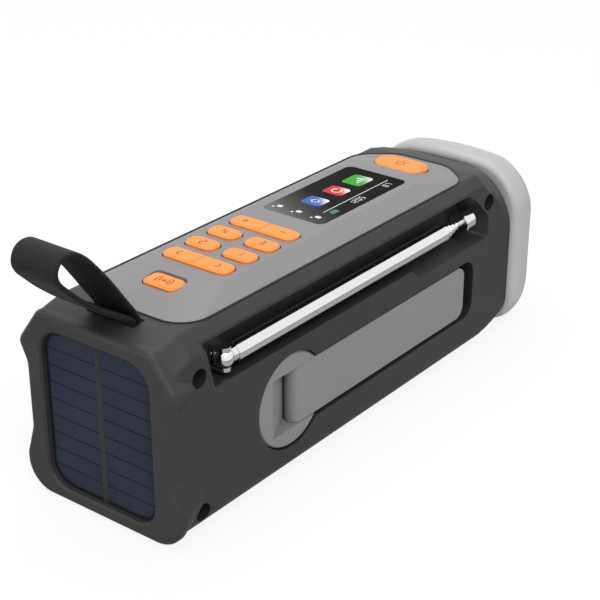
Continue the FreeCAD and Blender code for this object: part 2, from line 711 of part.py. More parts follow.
def right_housing(outer, solid):
    """Far half: speaker grille and seat, port window, board rails, screw pilot holes."""
    half_space = block(-OUTSIDE, OUTSIDE, 0, OUTSIDE, -WALL, OUTSIDE)
    speaker_x = station(SPEAKER_STATION)
    ring = rod_y(SPEAKER_RADIUS + LINER + SOLAR_GAP, SPEAKER_FACE_Y - 3, HALF_WIDTH, speaker_x, SPEAKER_HEIGHT)
    ring = ring.cut(rod_y(SPEAKER_RADIUS + SOLAR_GAP, 0, SPEAKER_FACE_Y, speaker_x, SPEAKER_HEIGHT))
    window_rear = station(PORT_STATION) - PORT_LENGTH / 2
    window_front = station(PORT_STATION) + PORT_LENGTH / 2
    rails = []
    for rail_x, rail_end in (
        (station(BOARD_STATION + 2), window_rear - 3),
        (window_front + 3, station(BOARD_STATION + BOARD_LENGTH - 2)),
    ):
        y_from = BOARD_RIGHT - RAIL_WIDTH / 2
        rails.append(block(rail_x, rail_end, y_from, HALF_WIDTH - 1, BOARD_BOTTOM - RAIL_HEIGHT, BOARD_BOTTOM))
    holder_x = station(CELL_STATION) - HOLDER_WALL
    holder_end = station(CELL_STATION) + CELL_LENGTH + HOLDER_WALL
    holder_y = CELL_CENTRE_Y + CELL_RADIUS + HOLDER_WALL
    middle_z = WALL + CELL_GAP + 2 * CELL_RADIUS + CELL_GAP / 2
    bosses = []
    for boss_x in (holder_x + 8, holder_end - 8):
        bosses.append(rod_y(3.0, holder_y, HALF_WIDTH - 1, boss_x, middle_z))
    port = (station(PORT_STATION), PORT_MIDDLE)
    port_points = rectangle(port, (PORT_LENGTH, PORT_HEIGHT))
    frame_points = rectangle(port, (PORT_LENGTH + 2 * LINER, PORT_HEIGHT + 2 * LINER))
    frame_y = HALF_WIDTH - COVER_THICKNESS - LINER
    frame = prism_xz(frame_points, [PORT_RADIUS] * 4, frame_y, HALF_WIDTH).common(outer)
    half = fused([solid.common(half_space), ring.common(outer), frame] + rails + bosses)
    tools = [prism_xz(port_points, [PORT_RADIUS] * 4, HALF_WIDTH - COVER_THICKNESS, HALF_WIDTH + 5)]
    hole_points = rectangle(port, (PORT_LENGTH - 2 * COVER_LIP, PORT_HEIGHT - 2 * COVER_LIP))
    tools.append(prism_xz(hole_points, [PORT_RADIUS / 2] * 4, frame_y - 1, HALF_WIDTH))
    for index in range(GRILLE_SLOTS):
        offset = (index - (GRILLE_SLOTS - 1) / 2) * GRILLE_PITCH
        reach = math.sqrt(GRILLE_RADIUS ** 2 - offset ** 2)
        slot_points = rectangle((speaker_x + offset, SPEAKER_HEIGHT), (GRILLE_SLOT, 2 * reach))
        tools.append(prism_xz(slot_points, [GRILLE_SLOT / 2 - 0.05] * 4, SPEAKER_FACE_Y - 1, HALF_WIDTH + 5))
    for x, z in screw_places():
        tools.append(rod_y(SCREW_SHANK_RADIUS, -1, SCREW_BITE, x, z))
    return cut(half, tools)


# --------------------------------------------------------------- top panel and keys

def key_places():
    """Name, centre x, centre y of the four small keys."""
    places = []
    for row, side_x in enumerate((-1, 1)):
        for column, side_y in enumerate((-1, 1)):
            x = KEYPAD_X + side_x * SMALL_KEY_PITCH_X / 2
            y = side_y * SMALL_KEY_PITCH_Y / 2
            places.append(("small_key_%d" % (2 * row + column + 1), x, y))
    return places


def key_openings():
    """Centre, size and corner radius of every key's cap."""
    openings = [((x, y), SMALL_KEY, SMALL_KEY_RADIUS) for _, x, y in key_places()]
    openings.append(((KEYPAD_X - ROCKER_OFFSET, 0), ROCKER, ROCKER_RADIUS))
    openings.append(((KEYPAD_X + ROCKER_OFFSET, 0), ROCKER, ROCKER_RADIUS))
    openings.append(((station(ALARM_KEY_STATION), 0), ALARM_KEY, ALARM_KEY_RADIUS))
    openings.append(((station(LAMP_BUTTON_STATION), 0), LAMP_BUTTON, LAMP_BUTTON_RADIUS))
    return openings


def top_panel():
    """Crowned grey panel with its key openings and the display's seat."""
    edge = rounded_wire(*panel_outline(0), on_xy(DECK_HEIGHT))
    crest = rounded_wire(*plateau_outline(0), on_xy(CROWN_HEIGHT))
    crown = Part.makeLoft([edge, crest], True, True)
    skirt = prism_xy(*panel_outline(0), PANEL_SEAT, DECK_HEIGHT)
    inner_edge = rounded_wire(*panel_outline(PANEL_LIP), on_xy(PANEL_SEAT))
    inner_crest = rounded_wire(*plateau_outline(PANEL_CROWN / 5), on_xy(PANEL_UNDERSIDE))
    hollow = Part.makeLoft([inner_edge, inner_crest], True, True)
    tools = [hollow]
    for centre, size, radius in key_openings():
        hole = (size[0] + 2 * KEY_GAP, size[1] + 2 * KEY_GAP)
        tools.append(prism_xy(rectangle(centre, hole), [radius + KEY_GAP] * 4, 0, OUTSIDE))
    display = (station(DISPLAY_STATION) + DISPLAY_LENGTH / 2, 0)
    seat = (DISPLAY_LENGTH + KEY_GAP, DISPLAY_WIDTH + KEY_GAP)
    view = (DISPLAY_LENGTH - 2 * WINDOW_LEDGE, DISPLAY_WIDTH - 2 * WINDOW_LEDGE)
    seat_z = CROWN_HEIGHT - WINDOW_THICKNESS
    tools.append(prism_xy(rectangle(display, seat), [DISPLAY_RADIUS] * 4, seat_z, OUTSIDE))
    tools.append(prism_xy(rectangle(display, view), [DISPLAY_RADIUS / 2] * 4, 0, OUTSIDE))
    return cut(fused([crown, skirt]), tools)


def display_parts():
    """Window glass and the display module under it."""
    centre = (station(DISPLAY_STATION) + DISPLAY_LENGTH / 2, 0)
    glass = prism_xy(
        rectangle(centre, (DISPLAY_LENGTH, DISPLAY_WIDTH)),
        [DISPLAY_RADIUS] * 4,
        CROWN_HEIGHT - WINDOW_THICKNESS,
        CROWN_HEIGHT,
    )
    size = (DISPLAY_LENGTH - 2 * MODULE_MARGIN + 3, DISPLAY_WIDTH - 2 * MODULE_MARGIN + 3)
    top = PANEL_UNDERSIDE
    module = prism_xy(rectangle(centre, size), [1.0] * 4, top - MODULE_THICKNESS, top)
    tail = block(centre[0] - 6, centre[0] + 6, -1.0, 1.0, BOARD_TOP, top - MODULE_THICKNESS)
    return glass, fused([module, tail])


def keycap(centre, size, radius, top, flange_top, flange_length, stems):
    """One key: cap, retaining flange and stems given as (x, y, bottom)."""
    cap = prism_xy(rectangle(centre, size), [radius] * 4, flange_top - KEY_FLANGE_THICKNESS, top - KEY_EDGE)
    low_wire = rounded_wire(rectangle(centre, size), [radius] * 4, on_xy(top - KEY_EDGE))
    high_size = (size[0] - 2 * KEY_EDGE, size[1] - 2 * KEY_EDGE)
    high_wire = rounded_wire(rectangle(centre, high_size), [radius - KEY_EDGE] * 4, on_xy(top))
    rim = Part.makeLoft([low_wire, high_wire], True, True)
    wide = (size[0] + 2 * (KEY_GAP + KEY_FLANGE), flange_length)
    flange_z = flange_top - KEY_FLANGE_THICKNESS
    flange = prism_xy(rectangle(centre, wide), [radius] * 4, flange_z, flange_top)
    solids = [cap, rim, flange]
    for x, y, bottom in stems:
        stem = rectangle((x, y), (KEY_STEM, KEY_STEM))
        solids.append(prism_xy(stem, [0.4] * 4, bottom, flange_z))
    return fused(solids)


def push_key(centre, size, radius, top, drop):
    """Key that moves straight down, its flange set drop below the panel's flat underside."""
    flange_length = size[1] + 2 * (KEY_GAP + KEY_FLANGE)
    flange_top = PANEL_UNDERSIDE - KEY_PLAY - drop
    return keycap(centre, size, radius, top, flange_top, flange_length, [centre + (STEM_BOTTOM,)])


def keys():
    """Every key by name, and the (x, y) of each switch below."""
    top = CROWN_HEIGHT + KEY_PROUD
    caps = {}
    switches = []
    for name, x, y in key_places():
        caps[name] = push_key((x, y), SMALL_KEY, SMALL_KEY_RADIUS, top, 0)
        switches.append((x, y))
    for name, side in (("rear_rocker_key", -1), ("front_rocker_key", 1)):
        x = KEYPAD_X + side * ROCKER_OFFSET
        ends = [(x, -ROCKER_STEM_PITCH / 2), (x, ROCKER_STEM_PITCH / 2)]
        stems = [end + (STEM_BOTTOM,) for end in ends] + [(x, 0, BOARD_TOP + KEY_PLAY)]
        flange_top = PANEL_UNDERSIDE - ROCKER_PLAY
        cap = keycap((x, 0), ROCKER, ROCKER_RADIUS, top, flange_top, ROCKER_FLANGE, stems)
        groove_half = ROCKER[0] / 2 - KEY_EDGE
        caps[name] = cap.cut(rod_x(ROCKER_GROOVE, x - groove_half, x + groove_half, 0, top))
        switches += ends
    alarm = (station(ALARM_KEY_STATION), 0)
    alarm_top = CROWN_HEIGHT - ALARM_KEY_DROP
    caps["alarm_key"] = push_key(alarm, ALARM_KEY, ALARM_KEY_RADIUS, alarm_top, PANEL_CROWN * 0.6)
    switches.append(alarm)
    lamp = (station(LAMP_BUTTON_STATION), 0)
    lamp_top = CROWN_HEIGHT - LAMP_BUTTON_DROP
    caps["lamp_button"] = push_key(lamp, LAMP_BUTTON, LAMP_BUTTON_RADIUS, lamp_top, PANEL_CROWN * 0.8)
    switches.append(lamp)
    return caps, switches


def boards(switches):
    """Main circuit board and the switches on it."""
    rear = station(BOARD_STATION)
    points = [(rear, -BOARD_LEFT), (rear + BOARD_LENGTH, -BOARD_LEFT)]
    points += [(rear + BOARD_LENGTH, BOARD_RIGHT), (rear, BOARD_RIGHT)]
    board = prism_xy(points, [2.0] * 4, BOARD_BOTTOM, BOARD_TOP)
    solids = []
    for x, y in switches:
        body = prism_xy(rectangle((x, y), (SWITCH_SIZE, SWITCH_SIZE)), [0.4] * 4, BOARD_TOP, SWITCH_TOP - 0.6)
        solids.append(fused([body, rod_z(1.2, SWITCH_TOP - 0.6, SWITCH_TOP, x, y)]))
    return board, Part.makeCompound(solids)


# --------------------------------------------------------------------------- crank

def crank_disc():
    """Round crank hub with the slot that the arm folds into."""
    profile = [(0, DISC_FACE_Y), (DISC_RADIUS - DISC_EDGE, DISC_FACE_Y), (DISC_RADIUS, DISC_FACE_Y + DISC_EDGE)]
    profile += [(DISC_RADIUS, DISC_BACK_Y), (0, DISC_BACK_Y)]
    disc = turned_y(profile, CRANK_X, CRANK_HEIGHT)
    ramp_x = CRANK_X - RAMP_OFFSET
    seat = BARREL_RADIUS + ARM_GAP
    run = HINGE_X - ramp_x
    rise = HINGE_Y - DISC_FACE_Y
    lean = 2 * math.atan2(rise, run)
    touch = (HINGE_X - seat * math.sin(lean), HINGE_Y + seat * math.cos(lean))
    half = ARM_WIDTH / 2 + ARM_GAP
    low = CRANK_HEIGHT - half
    high = CRANK_HEIGHT + half
    outside = DISC_FACE_Y - 2
    wedge = [(ramp_x, outside), (HINGE_X, outside), (HINGE_X, HINGE_Y), touch, (ramp_x, DISC_FACE_Y)]
    tools = [prism_xy(wedge, [0] * 5, low, high)]
    tools.append(rod_z(seat, low, high, HINGE_X, HINGE_Y))
    tools.append(block(HINGE_X, HINGE_X + DISC_RADIUS * 2, outside, SLOT_FLOOR_Y, low, high))
    tools.append(rod_z(HINGE_PIN_RADIUS, 0, DECK_HEIGHT, HINGE_X, HINGE_Y))
    tools.append(rod_y(SHAFT_RADIUS - 0.6, DISC_BACK_Y - 1.2, DISC_BACK_Y + 1, CRANK_X, CRANK_HEIGHT))
    return cut(disc, tools)


def crank_arm():
    """Folding arm: flat bar with a round hinge barrel and a ribbed back."""
    half = ARM_WIDTH / 2
    rear = HINGE_X
    points = [(rear, CRANK_HEIGHT - half), (ARM_TIP_X, CRANK_HEIGHT - half)]
    points += [(ARM_TIP_X, CRANK_HEIGHT + half), (rear, CRANK_HEIGHT + half)]
    bar = prism_xz(points, [0, ARM_END_RADIUS, ARM_END_RADIUS, 0], ARM_FACE_Y, ARM_BACK_Y)
    barrel = rod_z(BARREL_RADIUS, CRANK_HEIGHT - half, CRANK_HEIGHT + half, HINGE_X, HINGE_Y)
    solid = fused([bar, barrel])
    tools = [rod_z(HINGE_PIN_RADIUS + RUNNING_GAP, 0, DECK_HEIGHT, HINGE_X, HINGE_Y)]
    bay_from = HINGE_X + BARREL_RADIUS + 3
    bay_to = KNOB_X - KNOB_RADIUS
    bays = 5
    pitch = (bay_to - bay_from + ARM_RIB) / bays
    for index in range(bays):
        x = bay_from + pitch * index
        centre = (x + (pitch - ARM_RIB) / 2, CRANK_HEIGHT)
        size = (pitch - ARM_RIB, ARM_WIDTH - 2 * ARM_RIB)
        tools.append(prism_xz(rectangle(centre, size), [1.0] * 4, ARM_FACE_Y + ARM_RIB, ARM_BACK_Y + 1))
    tools.append(rod_y(KNOB_BORE / 2, ARM_FACE_Y + 2, ARM_BACK_Y + 1, KNOB_X, CRANK_HEIGHT))
    return cut(solid, tools)


def crank_knob():
    """Turned grip that spins on its shoulder screw."""
    start = ARM_BACK_Y + KNOB_GAP
    end = start + KNOB_LENGTH
    bore = KNOB_BORE + RUNNING_GAP
    profile = [(bore, start), (KNOB_WAIST, start), (KNOB_RADIUS, start + 1.5), (KNOB_RADIUS, start + 3)]
    profile += [(KNOB_WAIST + 0.4, start + KNOB_LENGTH / 2), (KNOB_RADIUS, end - 3), (KNOB_RADIUS, end - 1)]
    profile += [(KNOB_RADIUS - 1, end), (bore, end)]
    return turned_y(profile, KNOB_X, CRANK_HEIGHT)


def knob_screw():
    """Shoulder screw that carries the knob on the arm."""
    end = ARM_BACK_Y + 2 * KNOB_GAP + KNOB_LENGTH
    thread_from = ARM_FACE_Y + 2.2
    profile = [(0, thread_from), (KNOB_BORE / 2, thread_from), (KNOB_BORE / 2, ARM_BACK_Y), (KNOB_BORE, ARM_BACK_Y)]
    profile += [(KNOB_BORE, end), (KNOB_HEAD_RADIUS, end), (KNOB_HEAD_RADIUS, end + KNOB_HEAD_LENGTH - 0.6)]
    profile += [(KNOB_HEAD_RADIUS - 0.8, end + KNOB_HEAD_LENGTH), (0, end + KNOB_HEAD_LENGTH)]
    return turned_y(profile, KNOB_X, CRANK_HEIGHT)


def hinge_pin():
    """Steel pin through the disc and the arm's barrel."""
    reach = math.sqrt(DISC_RADIUS ** 2 - (BARREL_OFFSET + HINGE_PIN_RADIUS) ** 2) - 0.8
    return rod_z(HINGE_PIN_RADIUS, CRANK_HEIGHT - reach, CRANK_HEIGHT + reach, HINGE_X, HINGE_Y)


def crank_shaft():
    """Shaft from the disc to the gearbox's back plate."""
    spigot_y = DISC_BACK_Y - 1.2
    end = GENERATOR_Y + 0.4
    profile = [(0, spigot_y), (SHAFT_RADIUS - 0.6, spigot_y), (SHAFT_RADIUS - 0.6, DISC_BACK_Y)]
    profile += [(SHAFT_RADIUS, DISC_BACK_Y), (SHAFT_RADIUS, BACK_PLATE_Y), (SHAFT_RADIUS - 1, BACK_PLATE_Y)]
    profile += [(SHAFT_RADIUS - 1, end), (0, end)]
    return turned_y(profile, CRANK_X, CRANK_HEIGHT)


# ---------------------------------------------------------------------- gear train

def gear_profile(module, teeth, phase):
    """Flat points of a spur gear with involute flanks, one tooth centred on phase."""
    pitch_radius = module * teeth / 2
    base_radius = pitch_radius * math.cos(math.radians(PRESSURE_ANGLE))
    tip_radius = pitch_radius + module * 0.95
    root_radius = pitch_radius - module * 1.25
    involute = math.tan(math.radians(PRESSURE_ANGLE)) - math.radians(PRESSURE_ANGLE)
    half_tooth = (math.pi * module / 2 - BACKLASH) / (2 * pitch_radius)
    flank = []
    for radius in (root_radius, max(base_radius, root_radius + 0.05), pitch_radius, tip_radius):
        if radius <= base_radius:
            flank.append((radius, half_tooth + involute))
            continue
        angle = math.acos(base_radius / radius)
        flank.append((radius, half_tooth + involute - (math.tan(angle) - angle)))
    points = []
    for tooth in range(teeth):
        centre = phase + 2 * math.pi * tooth / teeth
        for radius, half in flank:
            points.append((radius * math.cos(centre - half), radius * math.sin(centre - half)))
        for radius, half in reversed(flank):
            points.append((radius * math.cos(centre + half), radius * math.sin(centre + half)))
    return points


def spur_gear(module, teeth, phase, x, z, y_from, y_to):
    """Solid spur gear about an axis along Y."""
    corners = [Vector(x + across, y_from, z + up) for across, up in gear_profile(module, teeth, phase)]
    face = Part.Face(Part.makePolygon(corners + corners[:1]))
    return face.extrude(Vector(0, y_to - y_from, 0))


def gears():
    """Drive gear, idler and rotor pinion, in mesh."""
    to_idler = math.radians(IDLER_ANGLE)
    to_rotor = math.radians(ROTOR_ANGLE)
    drive = spur_gear(DRIVE_MODULE, DRIVE_TEETH, to_idler, CRANK_X, CRANK_HEIGHT, DRIVE_Y, DRIVE_Y + DRIVE_FACE)
    tools = [rod_y(SHAFT_RADIUS + RUNNING_GAP, DRIVE_Y - 1, DRIVE_Y + DRIVE_FACE + 1, CRANK_X, CRANK_HEIGHT)]
    lightening = DRIVE_RADIUS * 0.6
    for index in range(6):
        angle = math.radians(60 * index)
        x = CRANK_X + lightening * math.cos(angle)
        z = CRANK_HEIGHT + lightening * math.sin(angle)
        tools.append(rod_y(DRIVE_RADIUS * 0.17, DRIVE_Y - 1, DRIVE_Y + DRIVE_FACE + 1, x, z))
    drive = cut(drive, tools)
    facing = to_idler + math.pi + math.pi / IDLER_PINION_TEETH
    pinion_end = IDLER_Y
    pinion = spur_gear(DRIVE_MODULE, IDLER_PINION_TEETH, facing, IDLER_X, IDLER_Z, DRIVE_Y, pinion_end)
    wheel = spur_gear(ROTOR_MODULE, IDLER_TEETH, to_rotor, IDLER_X, IDLER_Z, IDLER_Y, IDLER_Y + IDLER_FACE)
    bore = rod_y(IDLER_AXLE_RADIUS + RUNNING_GAP, DRIVE_Y - 1, IDLER_Y + IDLER_FACE + 1, IDLER_X, IDLER_Z)
    idler = fused([pinion, wheel]).cut(bore)
    rotor_phase = to_rotor + math.pi + math.pi / ROTOR_TEETH
    rotor = spur_gear(ROTOR_MODULE, ROTOR_TEETH, rotor_phase, ROTOR_X, ROTOR_Z, IDLER_Y, IDLER_Y + IDLER_FACE)
    rotor = rotor.cut(rod_y(ROTOR_SHAFT_RADIUS, IDLER_Y - 1, IDLER_Y + IDLER_FACE + 1, ROTOR_X, ROTOR_Z))
    return drive, idler, rotor


def pillar_places():
    """(x, z) of the gearbox pillars, clear of the gears."""
    far = DRIVE_RADIUS + DRIVE_MODULE + PILLAR_RADIUS + 1
    low = (CRANK_X + far * math.cos(math.radians(-125)), CRANK_HEIGHT + far * math.sin(math.radians(-125)))
    front = (CRANK_X + far, CRANK_HEIGHT)
    high = (CRANK_X, CRANK_HEIGHT + far)
    return [low, front, high]


def gearbox():
    """Front plate, back plate and pillars of the gearbox."""
    outline = [(CRANK_X + DRIVE_RADIUS + 6, CRANK_HEIGHT - 6), (CRANK_X + DRIVE_RADIUS + 6, CRANK_HEIGHT + 8)]
    outline += [(CRANK_X + 6, CRANK_HEIGHT + DRIVE_RADIUS + 5), (CRANK_X - 12, CRANK_HEIGHT + DRIVE_RADIUS + 5)]
    outline += [(ROTOR_X - 6, IDLER_Z + 4), (ROTOR_X - 10, ROTOR_Z - 4), (ROTOR_X + 2, ROTOR_Z - 9)]
    outline += [(CRANK_X - 10, CRANK_HEIGHT - DRIVE_RADIUS - 2.5), (CRANK_X, CRANK_HEIGHT - DRIVE_RADIUS)]
    radii = [2.0] * len(outline)
    front = prism_xz(outline, radii, FRONT_PLATE_Y, FRONT_PLATE_Y + PLATE_THICKNESS)
    back = prism_xz(outline, radii, BACK_PLATE_Y, GENERATOR_Y)
    shaft = rod_y(SHAFT_RADIUS + BUSH_GAP, FRONT_PLATE_Y - 1, DRIVE_Y, CRANK_X, CRANK_HEIGHT)
    shaft_end = rod_y(SHAFT_RADIUS - 1, BACK_PLATE_Y - 1, GENERATOR_Y + 1, CRANK_X, CRANK_HEIGHT)
    axle = rod_y(IDLER_AXLE_RADIUS, FRONT_PLATE_Y - 1, GENERATOR_Y + 1, IDLER_X, IDLER_Z)
    rotor_hole = rod_y(ROTOR_SHAFT_RADIUS * 3, BACK_PLATE_Y - 1, GENERATOR_Y + 1, ROTOR_X, ROTOR_Z)
    pillars = []
    for x, z in pillar_places():
        pillars.append(rod_y(PILLAR_RADIUS, FRONT_PLATE_Y + PLATE_THICKNESS, BACK_PLATE_Y, x, z))
    idler_axle = rod_y(IDLER_AXLE_RADIUS, FRONT_PLATE_Y, GENERATOR_Y, IDLER_X, IDLER_Z)
    return (
        cut(front, [shaft, axle]),
        cut(back, [shaft_end, axle, rotor_hole]),
        Part.makeCompound(pillars),
        idler_axle,
    )


def generator():
    """Generator can with its windings, and the magnet rotor on its shaft."""
    end = GENERATOR_Y + GENERATOR_DEPTH
    can = rod_y(GENERATOR_RADIUS, GENERATOR_Y, end, ROTOR_X, ROTOR_Z)
    bore_radius = GENERATOR_RADIUS * 0.55
    chamber_from = GENERATOR_Y + GENERATOR_WALL
    chamber = rod_y(bore_radius, chamber_from, end - GENERATOR_WALL, ROTOR_X, ROTOR_Z)
    shaft_hole = rod_y(ROTOR_SHAFT_RADIUS + RUNNING_GAP, GENERATOR_Y - 1, end + 1, ROTOR_X, ROTOR_Z)
    can = cut(can, [chamber, shaft_hole])
    magnet_from = chamber_from + ROTOR_AIR_GAP
    magnet_to = end - GENERATOR_WALL - ROTOR_AIR_GAP
    magnet = rod_y(bore_radius - ROTOR_AIR_GAP, magnet_from, magnet_to, ROTOR_X, ROTOR_Z)
    shaft = rod_y(ROTOR_SHAFT_RADIUS, IDLER_Y, end, ROTOR_X, ROTOR_Z)
    return can, fused([magnet, shaft])


# ------------------------------------------------------------------------- antenna

def antenna_base():
    """Stud and fork that carry the antenna in the channel."""
    y_floor = CHANNEL_FLOOR_Y
    half = KNUCKLE_HEIGHT / 2 + KNUCKLE_GAP
    width = FORK_WIDTH / 2
    flange_y = y_floor + LINER
    stud_end = flange_y + STUD_FLANGE_THICKNESS
    stud = rod_y(width, y_floor, stud_end, ANTENNA_X, ANTENNA_HEIGHT)
    flange = rod_y(width + STUD_FLANGE, flange_y, stud_end, ANTENNA_X, ANTENNA_HEIGHT)
    back_y = ANTENNA_Y + KNUCKLE_RADIUS + KNUCKLE_GAP
    top = half + FORK_THICKNESS
    back = block(ANTENNA_X - width, ANTENNA_X + width, back_y, y_floor, ANTENNA_HEIGHT - top, ANTENNA_HEIGHT + top)
    solids = [stud, flange, back]
    for z_from in (ANTENNA_HEIGHT - top, ANTENNA_HEIGHT + half):
        points = [(ANTENNA_X - width, y_floor), (ANTENNA_X - width, ANTENNA_Y - width)]
        points += [(ANTENNA_X + width, ANTENNA_Y - width), (ANTENNA_X + width, y_floor)]
        solids.append(prism_xy(points, [0, width - 0.1, width - 0.1, 0], z_from, z_from + FORK_THICKNESS))
    pin_hole = rod_z(PIVOT_PIN_RADIUS, ANTENNA_HEIGHT - top - 1, ANTENNA_HEIGHT + top + 1, ANTENNA_X, ANTENNA_Y)
    return fused(solids).cut(pin_hole)


def antenna_knuckle():
    """Ball knuckle, flat above and below, that turns on the pivot pin and holds the first tube."""
    half = KNUCKLE_HEIGHT / 2
    ball = Part.makeSphere(KNUCKLE_RADIUS, Vector(ANTENNA_X, ANTENNA_Y, ANTENNA_HEIGHT))
    inner = ANTENNA_TUBE_RADIUS - ANTENNA_WALL
    neck_end = ANTENNA_X + KNUCKLE_RADIUS + NECK_LENGTH
    neck = rod_x(inner, ANTENNA_X, neck_end, ANTENNA_Y, ANTENNA_HEIGHT)
    low = ANTENNA_HEIGHT - half
    high = ANTENNA_HEIGHT + half
    flats = block(ANTENNA_X - KNUCKLE_RADIUS, neck_end, -OUTSIDE, 0, low, high)
    pin_hole = rod_z(PIVOT_PIN_RADIUS + RUNNING_GAP, 0, DECK_HEIGHT, ANTENNA_X, ANTENNA_Y)
    return fused([ball, neck]).common(flats).cut(pin_hole)


def antenna_sections():
    """The telescoping sections, outermost first, the last one carrying the tip."""
    start = ANTENNA_X + KNUCKLE_RADIUS + 0.6
    end = start + ANTENNA_FIRST_LENGTH
    inner_start = ANTENNA_X + KNUCKLE_RADIUS + 4.0
    sections = []
    for index in range(ANTENNA_SECTIONS):
        radius = ANTENNA_TUBE_RADIUS - ANTENNA_STEP * index
        rear = start if index == 0 else inner_start
        front = end + ANTENNA_SHOULDER * index
        tube = rod_x(radius, rear, front, ANTENNA_Y, ANTENNA_HEIGHT)
        if index < ANTENNA_SECTIONS - 1:
            tube = tube.cut(rod_x(radius - ANTENNA_WALL, rear - 1, front + 1, ANTENNA_Y, ANTENNA_HEIGHT))
        sections.append(tube)
    tip_from = end + ANTENNA_SHOULDER * (ANTENNA_SECTIONS - 1)
    ring_to = tip_from + ANTENNA_RING_LENGTH
    tip_to = ring_to + ANTENNA_TIP_LENGTH
    rod = ANTENNA_TUBE_RADIUS - ANTENNA_STEP * (ANTENNA_SECTIONS - 1)
    profile = [(0, tip_from), (ANTENNA_RING_RADIUS, tip_from), (ANTENNA_RING_RADIUS, ring_to)]
    profile += [(ANTENNA_TIP_RADIUS, ring_to), (ANTENNA_TIP_RADIUS, tip_to - rod), (ANTENNA_TIP_RADIUS - rod, tip_to)]
    profile += [(0, tip_to)]
    return sections, turned_x(profile, ANTENNA_Y, ANTENNA_HEIGHT)


def antenna_pin():
    """Pivot pin through the fork."""
    reach = KNUCKLE_HEIGHT / 2 + KNUCKLE_GAP + FORK_THICKNESS
    return rod_z(PIVOT_PIN_RADIUS, ANTENNA_HEIGHT - reach, ANTENNA_HEIGHT + reach, ANTENNA_X, ANTENNA_Y)


# -------------------------------------------------------- power, sound, ports, solar

def power_cells():
    """Two round cells and the holder that keeps them."""
    rear = station(CELL_STATION)
    front = rear + CELL_LENGTH
    heights = [WALL + CELL_GAP + CELL_RADIUS, WALL + 2 * CELL_GAP + 3 * CELL_RADIUS]
    cells = []
    for z in heights:
        can = rod_x(CELL_RADIUS, rear, front - CELL_TERMINAL, CELL_CENTRE_Y, z)
        cells.append(fused([can, rod_x(3.0, front - CELL_TERMINAL, front, CELL_CENTRE_Y, z)]))
    y_far = CELL_CENTRE_Y + CELL_RADIUS
    low = WALL + HOLDER_GAP
    high = heights[1] + CELL_RADIUS
    back = block(rear - HOLDER_WALL, front + HOLDER_WALL, y_far, y_far + HOLDER_WALL, low, high)
    near = CELL_CENTRE_Y - CELL_RADIUS / 2
    ends = [
        block(rear - HOLDER_WALL, rear, near, y_far, low, high),
        block(front, front + HOLDER_WALL, near, y_far, low, high),
    ]
    return Part.makeCompound(cells), fused([back] + ends)


def loudspeaker():
    """Speaker basket with its magnet, and the cone."""
    x = station(SPEAKER_STATION)
    face = SPEAKER_FACE_Y
    back = face - SPEAKER_DEPTH + SPEAKER_MAGNET_DEPTH
    hub = SPEAKER_MAGNET_RADIUS
    rim_back = face - SPEAKER_RIM
    profile = [(0, back - SPEAKER_MAGNET_DEPTH), (hub, back - SPEAKER_MAGNET_DEPTH), (hub, back)]
    profile += [(SPEAKER_RADIUS - 3, rim_back), (SPEAKER_RADIUS, rim_back), (SPEAKER_RADIUS, face)]
    profile += [(SPEAKER_RADIUS - 2.5, face), (SPEAKER_RADIUS - 2.5, rim_back), (hub - 1, back + 1), (0, back + 1)]
    basket = turned_y(profile, x, SPEAKER_HEIGHT)
    edge = SPEAKER_RADIUS - 2.6
    cone = [(0, back + 3.2), (4, back + 2.6), (edge, face - 1.0), (edge, face - 0.4), (4, back + 3.4), (0, back + 4.2)]
    return basket, turned_y(cone, x, SPEAKER_HEIGHT)


def port_parts():
    """Silicone cover with its plugs, and the two sockets on the board's underside."""
    centre_x = station(PORT_STATION)
    middle_z = PORT_MIDDLE
    size = (PORT_LENGTH - 2 * COVER_GAP, PORT_HEIGHT - 2 * COVER_GAP)
    plate = prism_xz(
        rectangle((centre_x, middle_z), size),
        [PORT_RADIUS - COVER_GAP] * 4,
        HALF_WIDTH - COVER_THICKNESS + COVER_GAP / 2,
        HALF_WIDTH,
    )
    lip = COVER_LIP + 2 * COVER_GAP + 0.5
    plug_size = (PORT_LENGTH - 2 * lip, PORT_HEIGHT - 2 * lip)
    plug_y = HALF_WIDTH - COVER_THICKNESS - COVER_PLUG
    plug = prism_xz(rectangle((centre_x, middle_z), plug_size), [PORT_RADIUS / 2] * 4, plug_y, HALF_WIDTH - 0.5)
    grip_x = centre_x + PORT_LENGTH / 2 - COVER_GRIP_INSET
    grip_y = HALF_WIDTH + COVER_GRIP_PROUD
    grip_half = COVER_GRIP_HEIGHT / 2
    grip = block(
        grip_x - COVER_GRIP_LENGTH, grip_x, HALF_WIDTH - 0.5, grip_y, middle_z - grip_half, middle_z + grip_half
    )
    cover = fused([plate, plug, grip])
    sockets = []
    mouth_y = HALF_WIDTH - COVER_THICKNESS - COVER_PLUG - COVER_GAP
    ports = ((USB_A, USB_A_DEPTH, -SOCKET_SPREAD), (USB_C, USB_C_DEPTH, SOCKET_SPREAD))
    for (width, height), depth, offset in ports:
        x = centre_x + offset
        z = BOARD_BOTTOM - height / 2
        radius = 0.5 if height > 4 else height / 2 - 0.05
        shell = prism_xz(rectangle((x, z), (width, height)), [radius] * 4, mouth_y - depth, mouth_y)
        hollow = (width - 2 * SOCKET_WALL, height - 2 * SOCKET_WALL)
        inner = max(radius - SOCKET_WALL, 0.1)
        shell = shell.cut(prism_xz(rectangle((x, z), hollow), [inner] * 4, mouth_y - depth + 1, mouth_y + 1))
        tongue_height = height * 0.3
        tongue_z = z + height * 0.15 if height > 4 else z - tongue_height / 2
        half = width * 0.38
        tongue_top = tongue_z + tongue_height
        tongue = block(x - half, x + half, mouth_y - depth, mouth_y - 0.8, tongue_z, tongue_top)
        sockets.append(fused([shell, tongue]))
    return cover, sockets[0], sockets[1]


